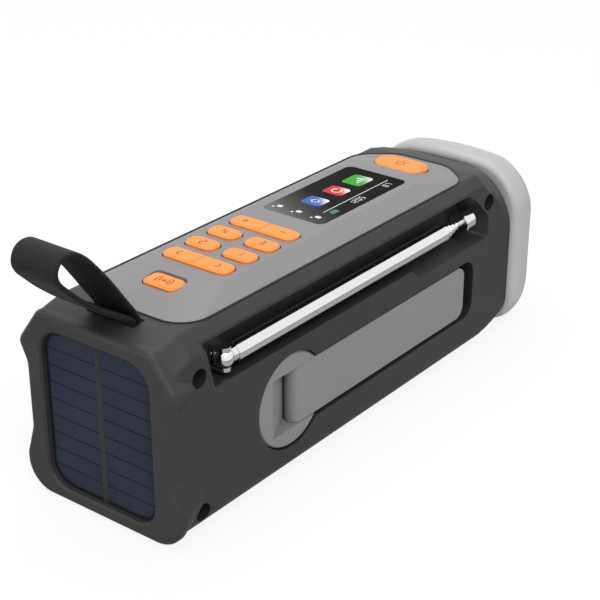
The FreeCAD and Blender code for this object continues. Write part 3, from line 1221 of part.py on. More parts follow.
def solar_panel():
    """Solar panel set into the rear face."""
    return prism_yz(*solar_outline(0), SOLAR_FACE_X, SOLAR_SEAT_X)


# ---------------------------------------------------------------------------- lamp

def lens_outline(inset):
    """Corner points and radii of the lens's section, moved inwards by inset."""
    half = COLLAR_WIDTH / 2 + LENS_OVERHANG - inset
    low = LENS_BOTTOM + inset
    high = COLLAR_HEIGHT + LENS_TOP_OVERHANG - inset
    edge = high - LENS_CROWN
    points = [(-half, low), (half, low), (half, edge), (0, high), (-half, edge)]
    bottom_radius = LENS_BOTTOM_RADIUS - inset
    top_radius = LENS_TOP_RADIUS - inset
    return points, [bottom_radius, bottom_radius, top_radius, LENS_TOP_RADIUS, top_radius]


def lens_form(inset, rear_radius):
    """Domed lens form, moved inwards by inset: its round edges are drawn out along X."""
    edge_radius = LENS_DOME_INSET - inset
    stretch = (LENS_DOME_LENGTH - inset) / edge_radius
    length = (LENS_LENGTH - inset) / stretch
    blank = prism_yz(*lens_outline(inset), 0, length)
    rim = [edge for edge in blank.Edges if edge.BoundBox.XMin > length / 2]
    blank = blank.makeFillet(edge_radius, rim)
    if rear_radius > 0:
        rim = [edge for edge in blank.Edges if edge.BoundBox.XMax < length / 100]
        blank = blank.makeFillet(rear_radius, rim)
    drawn = FreeCAD.Matrix()
    drawn.scale(stretch, 1, 1)
    drawn.move(FRONT_X, 0, 0)
    return blank.transformGeometry(drawn)


def lens():
    """Frosted lens cap with the spigot that fits the collar."""
    mouth = section(*MOUTH_SECTION, WALL + LENS_GAP)
    throat = section(*MOUTH_SECTION, WALL + LENS_GAP + LENS_WALL)
    spigot = prism_yz(*mouth, FRONT_X - LENS_SPIGOT, FRONT_X + LENS_WALL)
    opening = prism_yz(*throat, FRONT_X - LENS_SPIGOT - 1, FRONT_X + LENS_WALL + 1)
    ahead = block(FRONT_X + LENS_WALL, FRONT_X + OUTSIDE, -OUTSIDE, OUTSIDE, 0, OUTSIDE)
    hollow = lens_form(LENS_WALL, 0).common(ahead)
    return cut(fused([lens_form(0, LENS_REAR_RADIUS), spigot]), [hollow, opening])


def reflector():
    """Bright dish behind the lens, with a flange that sits on the collar's ledge."""
    flange_from = FRONT_X - LENS_SPIGOT - REFLECTOR_FLANGE
    outline = section(*MOUTH_SECTION, WALL + 2 * LENS_GAP)
    flange = prism_yz(*outline, flange_from, FRONT_X - LENS_SPIGOT)
    front_x = FRONT_X - LENS_SPIGOT
    back_x = flange_from - REFLECTOR_DEPTH
    middle_x = (front_x + back_x) / 2
    dish = []
    for grow in (REFLECTOR_WALL, 0):
        profile = [(0, front_x), (REFLECTOR_MOUTH_RADIUS + grow, front_x), (REFLECTOR_MIDDLE_RADIUS + grow, middle_x)]
        profile += [(REFLECTOR_THROAT_RADIUS + grow, back_x), (0, back_x)]
        dish.append(turned_x(profile, 0, COLLAR_HEIGHT / 2))
    return fused([flange, dish[0]]).cut(dish[1])


def led_board():
    """Board with nine light-emitting diodes behind the reflector."""
    centre = (0, COLLAR_HEIGHT / 2)
    face_x = FRONT_X - LENS_SPIGOT - REFLECTOR_FLANGE - REFLECTOR_DEPTH
    board_size = (LED_BOARD_SIZE, LED_BOARD_SIZE)
    solids = [prism_yz(rectangle(centre, board_size), [2.0] * 4, face_x - LED_BOARD_THICKNESS, face_x)]
    for row in (-1, 0, 1):
        for column in (-1, 0, 1):
            spot = (row * LED_PITCH, COLLAR_HEIGHT / 2 + column * LED_PITCH)
            solids.append(prism_yz(rectangle(spot, (LED_SIZE, LED_SIZE)), [0.4] * 4, face_x, face_x + 0.8))
    return fused(solids)


# -------------------------------------------------------------- fasteners and strap

def housing_screws():
    """Three identical pan head screws through the housing posts."""
    head_y = -HALF_WIDTH + SCREW_SINK
    neck_y = head_y + SCREW_HEAD_HEIGHT
    solids = []
    for x, z in screw_places():
        profile = [(0, head_y), (SCREW_HEAD_RADIUS - 0.6, head_y), (SCREW_HEAD_RADIUS, head_y + 0.6)]
        profile += [(SCREW_HEAD_RADIUS, neck_y), (SCREW_SHANK_RADIUS, neck_y), (SCREW_SHANK_RADIUS, SCREW_BITE - 1)]
        profile += [(0, SCREW_BITE)]
        solids.append(turned_y(profile, x, z))
    return Part.makeCompound(solids)


def strap():
    """Webbing loop that passes round the pin in the rear deck."""
    bend = STRAP_PIN_RADIUS + STRAP_GAP + STRAP_THICKNESS / 2
    leg = STRAP_THICKNESS / 2 + STRAP_GAP
    x = STRAP_PIN_X
    z = STRAP_PIN_HEIGHT
    route = [
        (x, z - bend),
        (x + bend, z),
        (x + leg, z + 3.6),
        (x + leg - 0.1, z + 6.2),
        (station(4.2), z + 12.4),
        (station(-4.4), z + 24.0),
        (station(-12.0), z + 31.5),
        (station(-17.2), z + 31.6),
        (station(-19.0), z + 27.4),
        (station(-15.0), z + 22.2),
        (station(-8.0), z + 15.9),
        (station(0.2), z + 9.9),
        (x - leg - 0.2, z + 6.4),
        (x - leg, z + 3.6),
        (x - bend, z),
    ]
    half = STRAP_WIDTH / 2
    line = Part.BSplineCurve()
    line.interpolate([Vector(x, -half, z) for x, z in route], PeriodicFlag=True)
    first = line.FirstParameter
    last = line.LastParameter
    faces = []
    for side in (-1, 1):
        points = []
        for index in range(STRAP_POINTS):
            at = first + (last - first) * index / STRAP_POINTS
            along = line.tangent(at)[0]
            normal = Vector(along.z, 0, -along.x)
            points.append(line.value(at) + normal * (side * STRAP_THICKNESS / 2))
        edge = Part.BSplineCurve()
        edge.interpolate(points, PeriodicFlag=True)
        faces.append(Part.Face(Part.Wire(edge.toShape())))
    faces.sort(key=lambda face: face.Area)
    return faces[1].cut(faces[0]).extrude(Vector(0, STRAP_WIDTH, 0))


def strap_pin():
    """Steel pin across the strap slot."""
    half = STRAP_WIDTH / 2 + SLOT_GAP + WALL
    return rod_y(STRAP_PIN_RADIUS, -half, half, STRAP_PIN_X, STRAP_PIN_HEIGHT)


# ------------------------------------------------------------------------- assembly

def build():
    """Make every sub-part and write its file."""
    os.makedirs("parts", exist_ok=True)
    outer, solid = housing()
    save("left_housing", left_housing(outer, solid))
    save("right_housing", right_housing(outer, solid))
    save("top_panel", top_panel())
    glass, module = display_parts()
    save("display_window", glass)
    save("display_module", module)
    caps, switches = keys()
    for name, cap in caps.items():
        save(name, cap)
    board, switch_group = boards(switches)
    save("main_board", board)
    save("key_switches", switch_group)
    save("crank_disc", crank_disc())
    save("crank_arm", crank_arm())
    save("crank_knob", crank_knob())
    save("knob_screw", knob_screw())
    save("crank_hinge_pin", hinge_pin())
    save("crank_shaft", crank_shaft())
    drive, idler, rotor = gears()
    save("drive_gear", drive)
    save("idler_gear", idler)
    save("rotor_pinion", rotor)
    front_plate, back_plate, pillars, idler_axle = gearbox()
    save("gearbox_front_plate", front_plate)
    save("gearbox_back_plate", back_plate)
    save("gearbox_pillars", pillars)
    save("idler_axle", idler_axle)
    can, magnet = generator()
    save("generator_can", can)
    save("generator_rotor", magnet)
    save("antenna_base", antenna_base())
    save("antenna_knuckle", antenna_knuckle())
    save("antenna_pin", antenna_pin())
    sections, tip = antenna_sections()
    for index, tube in enumerate(sections):
        save("antenna_section_%d" % (index + 1), tube)
    save("antenna_tip", tip)
    cells, holder = power_cells()
    save("battery_cells", cells)
    save("battery_holder", holder)
    basket, cone = loudspeaker()
    save("speaker_basket", basket)
    save("speaker_cone", cone)
    cover, socket_a, socket_c = port_parts()
    save("port_cover", cover)
    save("usb_a_socket", socket_a)
    save("usb_c_socket", socket_c)
    save("solar_panel", solar_panel())
    save("lens", lens())
    save("reflector", reflector())
    save("led_board", led_board())
    save("housing_screws", housing_screws())
    save("wrist_strap", strap())
    save("strap_pin", strap_pin())


build()
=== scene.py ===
import json
import math

import bmesh
import bpy
from mathutils import Matrix, Vector


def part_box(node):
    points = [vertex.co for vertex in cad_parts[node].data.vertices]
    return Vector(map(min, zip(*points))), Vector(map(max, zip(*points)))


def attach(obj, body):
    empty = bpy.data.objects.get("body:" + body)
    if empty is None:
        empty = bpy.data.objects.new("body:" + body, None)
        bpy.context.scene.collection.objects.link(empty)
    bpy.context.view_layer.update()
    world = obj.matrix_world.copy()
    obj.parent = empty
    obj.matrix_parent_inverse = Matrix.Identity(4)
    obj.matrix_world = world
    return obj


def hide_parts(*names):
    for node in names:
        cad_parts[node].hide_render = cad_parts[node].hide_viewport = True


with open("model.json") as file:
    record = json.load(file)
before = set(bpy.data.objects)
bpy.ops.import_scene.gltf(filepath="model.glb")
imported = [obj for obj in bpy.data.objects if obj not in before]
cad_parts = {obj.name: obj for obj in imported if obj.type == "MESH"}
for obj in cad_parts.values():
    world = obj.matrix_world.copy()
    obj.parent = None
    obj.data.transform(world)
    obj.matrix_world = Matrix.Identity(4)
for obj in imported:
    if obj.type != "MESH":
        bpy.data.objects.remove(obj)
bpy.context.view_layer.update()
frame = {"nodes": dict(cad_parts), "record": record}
nodes = frame["nodes"]

MM = 0.001
# The housing's shell starts where the rear frame ends.
FRAME_PROUD = 2.2 * MM
SHELL_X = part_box("left_housing")[0][0] + FRAME_PROUD


def box(node):
    """Lowest and highest corner of a node, as vectors in metres."""
    low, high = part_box(node)
    return Vector(low), Vector(high)


# ------------------------------------------------------------------ material helpers

def shader(name, color, roughness, metallic=0.0, **sockets):
    """New material with a principled shader: returns it, its tree and the shader."""
    material = bpy.data.materials.new(name)
    material.use_nodes = True
    tree = material.node_tree
    bsdf = tree.nodes["Principled BSDF"]
    bsdf.inputs["Base Color"].default_value = (*color, 1.0)
    bsdf.inputs["Roughness"].default_value = roughness
    bsdf.inputs["Metallic"].default_value = metallic
    for socket, value in sockets.items():
        bsdf.inputs[socket.replace("_", " ")].default_value = value
    return material, tree, bsdf


def coordinates(tree, scale=(1.0, 1.0, 1.0), source="Object"):
    """Object or UV coordinates, scaled."""
    node = tree.nodes.new("ShaderNodeTexCoord")
    mapping = tree.nodes.new("ShaderNodeMapping")
    mapping.inputs["Scale"].default_value = scale
    tree.links.new(node.outputs[source], mapping.inputs["Vector"])
    return mapping.outputs["Vector"]


def separate(tree, vector):
    """The three coordinates of a vector."""
    node = tree.nodes.new("ShaderNodeSeparateXYZ")
    tree.links.new(vector, node.inputs[0])
    return node.outputs[0], node.outputs[1], node.outputs[2]


def noise(tree, vector, scale, detail=2.0):
    """Noise texture's factor, with its scale per metre."""
    node = tree.nodes.new("ShaderNodeTexNoise")
    node.inputs["Scale"].default_value = scale
    node.inputs["Detail"].default_value = detail
    tree.links.new(vector, node.inputs["Vector"])
    return node.outputs["Fac"]


def maths(tree, operation, *values):
    """Math node on numbers and sockets."""
    node = tree.nodes.new("ShaderNodeMath")
    node.operation = operation
    for socket, value in zip(node.inputs, values):
        if isinstance(value, (int, float)):
            socket.default_value = value
        else:
            tree.links.new(value, socket)
    return node.outputs[0]


def distance(tree, across, up):
    """Length of the flat vector (across, up)."""
    squares = [maths(tree, "MULTIPLY", part, part) for part in (across, up)]
    return maths(tree, "SQRT", maths(tree, "ADD", *squares))


def step(tree, value, low, high):
    """Smooth step of a value from 0 at low to 1 at high."""
    node = tree.nodes.new("ShaderNodeMapRange")
    node.interpolation_type = "SMOOTHSTEP"
    node.inputs["From Min"].default_value = low
    node.inputs["From Max"].default_value = high
    tree.links.new(value, node.inputs["Value"])
    return node.outputs["Result"]


def between(tree, value, low, high, soft):
    """1 where a value lies between two limits, with soft edges."""
    above = step(tree, value, low - soft, low)
    below = step(tree, value, high + soft, high)
    return maths(tree, "MULTIPLY", above, below)


def ramp(tree, factor, stops):
    """Colour ramp from (position, colour) stops."""
    node = tree.nodes.new("ShaderNodeValToRGB")
    while len(node.color_ramp.elements) < len(stops):
        node.color_ramp.elements.new(0.5)
    for element, (position, color) in zip(node.color_ramp.elements, stops):
        element.position = position
        element.color = (*color, 1.0)
    tree.links.new(factor, node.inputs["Fac"])
    return node.outputs["Color"]


def mottled(tree, factor, dark, light):
    """Colour that drifts between two tones with a noise's factor."""
    return ramp(tree, factor, [(0.3, dark), (0.7, light)])


def blended(tree, factor, first, second):
    """Colour mixed from first to second, each a socket or a colour."""
    node = tree.nodes.new("ShaderNodeMix")
    node.data_type = "RGBA"
    tree.links.new(factor, node.inputs["Factor"])
    for name, value in (("A", first), ("B", second)):
        socket = next(item for item in node.inputs if item.name == name and item.type == "RGBA")
        if isinstance(value, tuple):
            socket.default_value = (*value, 1.0)
        else:
            tree.links.new(value, socket)
    return next(item for item in node.outputs if item.type == "RGBA")


def spread(tree, factor, low, high):
    """A factor of 0 to 1 carried into low to high."""
    node = tree.nodes.new("ShaderNodeMapRange")
    node.inputs["To Min"].default_value = low
    node.inputs["To Max"].default_value = high
    tree.links.new(factor, node.inputs["Value"])
    return node.outputs["Result"]


def bump(tree, bsdf, height, strength, depth):
    """Bump from a height, whose depth is in metres."""
    node = tree.nodes.new("ShaderNodeBump")
    node.inputs["Strength"].default_value = strength
    node.inputs["Distance"].default_value = depth
    tree.links.new(height, node.inputs["Height"])
    tree.links.new(node.outputs["Normal"], bsdf.inputs["Normal"])


# ------------------------------------------------------------------------ finishes

# Moulded parts have a fine grain and a broad drift of colour, and metals have fine marks. Scales are per
# metre.
GRAIN_SCALE = 2600.0
GRAIN_DEPTH = 0.06 * MM
DRIFT_SCALE = 35.0
MARK_SCALE = 900.0
MARK_DEPTH = 0.02 * MM


def grained(tree, bsdf, color, roughness, grain, drift):
    """Fine spark-eroded grain and a slight drift of colour: returns the colour's socket."""
    vector = coordinates(tree)
    dark = tuple(channel * (1 - drift) for channel in color)
    light = tuple(channel * (1 + drift) for channel in color)
    tone = mottled(tree, noise(tree, vector, DRIFT_SCALE, 3.0), dark, light)
    fine = noise(tree, vector, GRAIN_SCALE)
    tree.links.new(spread(tree, fine, roughness - 0.06, roughness + 0.08), bsdf.inputs["Roughness"])
    bump(tree, bsdf, fine, grain, GRAIN_DEPTH)
    return tone


def moulded(name, color, roughness, grain, drift, level=0.5):
    """Moulded plastic or rubber."""
    material, tree, bsdf = shader(name, color, roughness, Specular_IOR_Level=level)
    tree.links.new(grained(tree, bsdf, color, roughness, grain, drift), bsdf.inputs["Base Color"])
    return material


def metal(name, color, roughness, stretch=(1.0, 1.0, 1.0), scale=MARK_SCALE, grain=0.15):
    """Metal with fine drawn or turned marks."""
    material, tree, bsdf = shader(name, color, roughness, 1.0)
    marks = noise(tree, coordinates(tree, stretch), scale, 3.0)
    smoothest = max(roughness - 0.05, 0.02)
    tree.links.new(spread(tree, marks, smoothest, roughness + 0.09), bsdf.inputs["Roughness"])
    bump(tree, bsdf, marks, grain, MARK_DEPTH)
    return material


# The housing's colour is darker with painted shade in the near side's channel and recess, which lie in the
# RECESS box, and in the wells of its screws. It starts at RECESS_START under the near side's plane and is
# full at RECESS_FULL.
BODY_COLOR = (0.0365, 0.0365, 0.0368)
RECESS_SHADE = (0.021, 0.021, 0.0212)
RECESS_X = (SHELL_X + 12.9 * MM, 69.8 * MM)
RECESS_Y = (-40.0 * MM, -10.0 * MM)
RECESS_Z = (8.5 * MM, 55.6 * MM)
RECESS_EDGE = 0.3 * MM
SIDE_Y = -26.0 * MM
RECESS_START = 0.05 * MM
RECESS_FULL = 0.4 * MM
WELL_RADIUS = 2.76 * MM
WELL_EDGE = 0.05 * MM


def screw_axes():
    """Place (x, z) of each housing screw: the screws lie in different quarters of their box."""
    low, high = box("housing_screws")
    middle = (low + high) / 2
    quarters = {}
    for vert in nodes["housing_screws"].data.vertices:
        quarters.setdefault((vert.co.x > middle.x, vert.co.z > middle.z), []).append(vert.co)
    axes = []
    for key in sorted(quarters):
        across = [point.x for point in quarters[key]]
        up = [point.z for point in quarters[key]]
        axes.append(((min(across) + max(across)) / 2, (min(up) + max(up)) / 2))
    return axes


def housing_material():
    """Dark moulded housing, with painted shade that darkens its channel, recess and screw wells."""
    roughness = 0.45
    material, tree, bsdf = shader("moulded_housing", BODY_COLOR, roughness, Specular_IOR_Level=0.2)
    tone = grained(tree, bsdf, BODY_COLOR, roughness, 0.5, 0.1)
    x, y, z = separate(tree, coordinates(tree))
    # Painted shade: this mask darkens the colour in the channel, the recess and the screw wells.
    inside = step(tree, y, SIDE_Y + RECESS_START, SIDE_Y + RECESS_FULL)
    for value, (low, high) in ((x, RECESS_X), (y, RECESS_Y), (z, RECESS_Z)):
        inside = maths(tree, "MULTIPLY", inside, between(tree, value, low, high, RECESS_EDGE))
    near_half = step(tree, y, RECESS_Y[1], RECESS_Y[1] - RECESS_EDGE)
    for well_x, well_z in screw_axes():
        away = distance(tree, maths(tree, "SUBTRACT", x, well_x), maths(tree, "SUBTRACT", z, well_z))
        well = step(tree, away, WELL_RADIUS + WELL_EDGE, WELL_RADIUS)
        inside = maths(tree, "MAXIMUM", inside, maths(tree, "MULTIPLY", well, near_half))
    tree.links.new(blended(tree, inside, tone, RECESS_SHADE), bsdf.inputs["Base Color"])
    return material


def solar_backing():
    """Dark backing of the solar panel under clear epoxy."""
    material, tree, bsdf = shader("solar_backing", (0.012, 0.013, 0.017), 0.16, Specular_IOR_Level=0.05)
    vector = coordinates(tree)
    color = mottled(tree, noise(tree, vector, 80.0), (0.010, 0.011, 0.015), (0.016, 0.018, 0.024))
    tree.links.new(color, bsdf.inputs["Base Color"])
    tree.links.new(spread(tree, noise(tree, vector, 300.0), 0.12, 0.22), bsdf.inputs["Roughness"])
    return material


# Printed fingers of the silicon strips: half their pitch, and the distances from its middle at which a line
# starts to fade and has ended.
HALF_FINGER_PITCH = 0.45 * MM
FINGER_FADE = 0.03 * MM
FINGER_END = 0.08 * MM


def solar_strip():
    """Blue silicon with fine printed fingers under clear epoxy."""
    material, tree, bsdf = shader("solar_silicon", (0.03, 0.036, 0.06), 0.2, Specular_IOR_Level=0.06)
    vector = coordinates(tree)
    finger = maths(tree, "PINGPONG", separate(tree, vector)[1], HALF_FINGER_PITCH)
    line = step(tree, finger, FINGER_END, FINGER_FADE)
    silicon = mottled(tree, noise(tree, vector, 60.0, 3.0), (0.020, 0.024, 0.040), (0.027, 0.032, 0.052))
    tree.links.new(blended(tree, line, silicon, (0.034, 0.039, 0.058)), bsdf.inputs["Base Color"])
    tree.links.new(spread(tree, noise(tree, vector, 500.0), 0.16, 0.26), bsdf.inputs["Roughness"])
    return material


def lens_material():
    """Frosted grey lens that passes a little light."""
    material, tree, bsdf = shader("lens_frost", (0.40, 0.40, 0.405), 0.36, Specular_IOR_Level=0.4)
    bsdf.inputs["Subsurface Weight"].default_value = 0.2
    bsdf.inputs["Subsurface Radius"].default_value = (1.0, 1.0, 1.0)
    bsdf.inputs["Subsurface Scale"].default_value = 3.0 * MM
    vector = coordinates(tree)
    color = mottled(tree, noise(tree, vector, 30.0), (0.385, 0.385, 0.39), (0.42, 0.42, 0.425))
    tree.links.new(color, bsdf.inputs["Base Color"])
    bump(tree, bsdf, noise(tree, vector, 1800.0), 0.2, 0.04 * MM)
    return material


# Painted glare on the display, a painted reflection that makes its rear end paler: where it starts behind
# the window, how far it reaches, how much it leans along the window for each unit across it, and its
# colours.
GLARE_START = 5.5 * MM
GLARE_LENGTH = 50.0 * MM
GLARE_LEAN = 0.5
GLARE_STOPS = (
    (0.0, (0.18, 0.172, 0.168)),
    (0.2, (0.066, 0.062, 0.06)),
    (0.42, (0.014, 0.013, 0.013)),
    (1.0, (0.005, 0.005, 0.006)),
)


def glass_material():
    """Glossy display glass, with a painted reflection that makes it paler towards its rear end."""
    material, tree, bsdf = shader("display_glass", (0.012, 0.012, 0.014), 0.1, IOR=1.05)
    start = box("display_window")[0].x - GLARE_START
    vector = coordinates(tree)
    x, y = separate(tree, vector)[:2]
    # Painted reflection: the glass's colour is paler towards its rear end.
    slant = maths(tree, "SUBTRACT", x, maths(tree, "MULTIPLY", y, GLARE_LEAN))
    along = maths(tree, "DIVIDE", maths(tree, "SUBTRACT", slant, start), GLARE_LENGTH)
    tree.links.new(ramp(tree, along, GLARE_STOPS), bsdf.inputs["Base Color"])
    tree.links.new(spread(tree, noise(tree, vector, 400.0), 0.08, 0.14), bsdf.inputs["Roughness"])
    return material


def printed(name, color, glow=0.0, ior=1.45, fade=None):
    """Ink or lit mark with a slight mottle, and a paler far corner where fade gives one."""
    material, tree, bsdf = shader(name, color, 0.25, Specular_IOR_Level=0.3, IOR=ior)
    vector = coordinates(tree)
    dark = tuple(channel * 0.9 for channel in color)
    tone = mottled(tree, noise(tree, vector, 900.0), dark, color)
    if fade is not None:
        start, end = fade
        x, y = separate(tree, vector)[:2]
        slant = maths(tree, "SUBTRACT", x, y)
        tone = blended(tree, step(tree, slant, start, end), tone, (0.85, 0.88, 0.85))
    tree.links.new(tone, bsdf.inputs["Base Color"])
    if glow:
        tree.links.new(tone, bsdf.inputs["Emission Color"])
        bsdf.inputs["Emission Strength"].default_value = glow
    return material


# Herringbone of the strap: the width of a row of ribs, the ribs' pitch and their depth.
ROW_WIDTH = 2.1 * MM
RIB_PITCH = 1.1 * MM
RIB_DEPTH = 0.25 * MM


def webbing_material():
    """Black herringbone webbing: ribs slant one way and the other across the strap, with painted shade in
    the troughs.
    """
    color = (0.0105, 0.0105, 0.0108)
    material, tree, bsdf = shader("strap_webbing", color, 0.7, Specular_IOR_Level=0.2, Sheen_Weight=0.04)
    along, across = separate(tree, coordinates(tree, source="UV"))[:2]
    bend = maths(tree, "PINGPONG", across, ROW_WIDTH)
    phase = maths(tree, "MULTIPLY", maths(tree, "ADD", along, bend), math.tau / RIB_PITCH)
    rib = spread(tree, maths(tree, "SINE", phase), 0.3, 0.7)
    fibre = noise(tree, coordinates(tree, (0.2, 1.0, 1.0), "UV"), 5000.0)
    height = maths(tree, "ADD", rib, maths(tree, "MULTIPLY", fibre, 0.5))
    # Painted shade: the troughs between the ribs are coloured darker than the ribs' tops.
    shade = ramp(tree, rib, [(0.25, (0.0055, 0.0055, 0.0057)), (0.75, color)])
    tree.links.new(shade, bsdf.inputs["Base Color"])
    bump(tree, bsdf, height, 0.8, RIB_DEPTH)
    return material


# After the colour come the roughness, the grain, the drift of colour and, where given, the specular level.
HOUSING = housing_material()
PANEL = moulded("moulded_panel", (0.205, 0.205, 0.207), 0.5, 0.4, 0.03, 0.35)
CRANK = moulded("moulded_crank", (0.212, 0.212, 0.214), 0.5, 0.4, 0.03, 0.35)
ORANGE = moulded("moulded_orange", (0.93, 0.275, 0.06), 0.5, 0.25, 0.03, 0.3)
KNOB = moulded("moulded_knob", BODY_COLOR, 0.5, 0.5, 0.1, 0.3)
RUBBER = moulded("moulded_rubber", (0.022, 0.022, 0.023), 0.62, 0.7, 0.15, 0.3)
NYLON = moulded("moulded_nylon", (0.7, 0.69, 0.65), 0.4, 0.2, 0.04)
BOARD = moulded("board_lacquer", (0.03, 0.15, 0.065), 0.3, 0.2, 0.1)
WRAP = moulded("cell_wrap", (0.05, 0.17, 0.40), 0.28, 0.1, 0.05)
PHOSPHOR = moulded("diode_phosphor", (0.8, 0.78, 0.62), 0.35, 0.1, 0.03)
MODULE = moulded("display_module", (0.02, 0.02, 0.022), 0.2, 0.05, 0.1)
# After the colour comes the roughness. The chrome's marks are finer, and drawn out along the tubes.
STEEL = metal("steel", (0.55, 0.55, 0.56), 0.32)
SCREW = metal("screw_black_oxide", (0.03, 0.03, 0.031), 0.45)
CAN = metal("generator_steel", (0.38, 0.38, 0.39), 0.4)
MAGNET = metal("magnet", (0.12, 0.12, 0.12), 0.55)
BRASS = metal("brass", (0.72, 0.54, 0.24), 0.3)
CHROME = metal("chrome", (0.82, 0.82, 0.83), 0.05, stretch=(0.05, 1.0, 1.0), scale=1200.0, grain=0.02)
MIRROR = metal("reflector_bright", (0.85, 0.85, 0.85), 0.12)
GLASS = glass_material()
SOLAR = solar_backing()
SILICON = solar_strip()
LENS = lens_material()
WEBBING = webbing_material()

SLOT_FINISHES = {
    "body_black": HOUSING,
    "panel_grey": PANEL,
    "display_glass": GLASS,
    "display_panel": MODULE,
    "key_orange": ORANGE,
    "board_green": BOARD,
    "switch_black": RUBBER,
    "crank_grey": CRANK,
    "knob_black": KNOB,
    "steel": STEEL,
    "gear_white": NYLON,
    "brass": BRASS,
    "generator_steel": CAN,
    "magnet_grey": MAGNET,
    "chrome": CHROME,
    "cell_wrap": WRAP,
    "cone_black": RUBBER,
    "cover_rubber": RUBBER,
    "solar_cell": SOLAR,
    "lens_frost": LENS,
    "reflector_bright": MIRROR,
    "led_white": PHOSPHOR,
    "strap_black": WEBBING,
}
NODE_FINISHES = {"housing_screws": SCREW}


def dress_nodes():
    """Give every CAD node the finish of its slot, or its own."""
    for entry in frame["record"]["subparts"]:
        finish = NODE_FINISHES.get(entry["node"], SLOT_FINISHES[entry["material_slot"]])
        node = nodes[entry["node"]]
        node.data.materials.clear()
        node.data.materials.append(finish)


# ------------------------------------------------------------------- piece helpers

def piece(name, bm, material, body, smooth=False):
    """New piece from a bmesh, on a body, with its material."""
    bmesh.ops.recalc_face_normals(bm, faces=bm.faces)
    mesh = bpy.data.meshes.new(name)
    bm.to_mesh(mesh)
    bm.free()
    for polygon in mesh.polygons:
        polygon.use_smooth = smooth
    mesh.materials.append(material)
    made = bpy.data.objects.new(name, mesh)
    bpy.context.scene.collection.objects.link(made)
    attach(made, body)
    return made


def join_rings(bm, first, second):
    """Quads between two closed rings of as many vertices."""
    for index in range(len(first)):
        after = (index + 1) % len(first)
        bm.faces.new((first[index], first[after], second[after], second[index]))


def slab(bm, outline, place, low, high):
    """Thin solid with a flat outline, between two heights over its surface."""
    bottom = [bm.verts.new(place(a, b, low)) for a, b in outline]
    top = [bm.verts.new(place(a, b, high)) for a, b in outline]
    bm.faces.new(top)
    bm.faces.new(bottom[::-1])
    join_rings(bm, bottom, top)


def on_top(height):
    """Placer for flat (x, y) outlines on a level surface."""
    return lambda a, b, rise: Vector((a, b, height + rise))


def on_rear(x):
    """Placer for flat (y, z) outlines on the rear face."""
    return lambda a, b, rise: Vector((x - rise, a, b))


def rounded_outline(centre, size, radius, steps=5):
    """Outline of a rounded rectangle."""
    outline = []
    for quarter, (side_a, side_b) in enumerate(((1, 1), (-1, 1), (-1, -1), (1, -1))):
        corner_a = centre[0] + side_a * (size[0] / 2 - radius)
        corner_b = centre[1] + side_b * (size[1] / 2 - radius)
        for index in range(steps + 1):
            angle = math.pi / 2 * (quarter + index / steps)
            outline.append((corner_a + radius * math.cos(angle), corner_b + radius * math.sin(angle)))
    return outline


def bar_outline(start, end, width):
    """Outline of a straight stroke with pointed ends."""
    start = Vector(start)
    end = Vector(end)
    along = (end - start).normalized()
    side = Vector((-along.y, along.x)) * (width / 2)
    inset = along * (width / 2)
    one_edge = [start, start + inset + side, end - inset + side]
    other_edge = [end, end - inset - side, start + inset - side]
    return [tuple(point) for point in one_edge + other_edge]


def arc_outline(centre, radius, width, start, sweep, steps=16):
    """Outline of a curved stroke."""
    angles = [start + sweep * index / steps for index in range(steps + 1)]
    outer = [(radius + width / 2, angle) for angle in angles]
    inner = [(radius - width / 2, angle) for angle in reversed(angles)]
    outline = []
    for reach, angle in outer + inner:
        outline.append((centre[0] + reach * math.cos(angle), centre[1] + reach * math.sin(angle)))
    return outline


# Segments of a plain digit, in quarters of its height from its middle, and those that each digit lights.
SEGMENTS = (
    ((-1, 2), (1, 2)), ((1, 2), (1, 0)), ((1, 0), (1, -2)), ((-1, -2), (1, -2)),
    ((-1, 0), (-1, -2)), ((-1, 2), (-1, 0)), ((-1, 0), (1, 0)),
)
# Shortening of each end of a segment, in widths of its stroke.
SEGMENT_GAP = 0.15
DIGITS = {
    "0": (0, 1, 2, 3, 4, 5), "1": (1, 2), "2": (0, 1, 6, 4, 3), "3": (0, 1, 6, 2, 3), "4": (5, 6, 1, 2),
    "5": (0, 5, 6, 2, 3), "7": (0, 1, 2), "8": (0, 1, 2, 3, 4, 5, 6),
}


def digit_outlines(digit, centre, height, width):
    """Strokes of one plain digit."""
    unit = height / 4
    strokes = []
    for segment in DIGITS[digit]:
        start, end = (Vector((centre[0] + a * unit, centre[1] + b * unit)) for a, b in SEGMENTS[segment])
        gap = (end - start).normalized() * (width * SEGMENT_GAP)
        strokes.append(bar_outline(start + gap, end - gap, width))
    return strokes


INK = 0.03 * MM


def printed_piece(name, outlines, height, material, body):
    """Flat marks on a level surface as one thin piece."""
    bm = bmesh.new()
    for outline in outlines:
        slab(bm, outline, on_top(height), 0.0, INK)
    return piece(name, bm, material, body)


# ------------------------------------------------------------------------- the lens

# The lens stands over the collar. Its corners are squarer at the rim than the plain solid's, and its front
# is rounder. RADII are those of its upper and its lower corners. SPIGOT values are those of the ring that
# enters the collar. LENS_CROWN is how far the top rises in the middle. Edges over SHARP_ANGLE degrees stay
# sharp.
LENS_LENGTH = 21.5 * MM
DOME_LENGTH = 18.2 * MM
DOME_INSET = 13.5 * MM
RIM_ROUNDING = 2.1 * MM
RIM_RADII = (14.5 * MM, 11.5 * MM)
FRONT_RADII = (15.0 * MM, 9.5 * MM)
SPIGOT_RADII = (24.0 * MM, 12.0 * MM)
SPIGOT_INSET = 5.5 * MM
LENS_CROWN = 3.0 * MM
LENS_WALL = 2.0 * MM
LENS_STEPS = 10
RIM_STEPS = 4
SHARP_ANGLE = 50


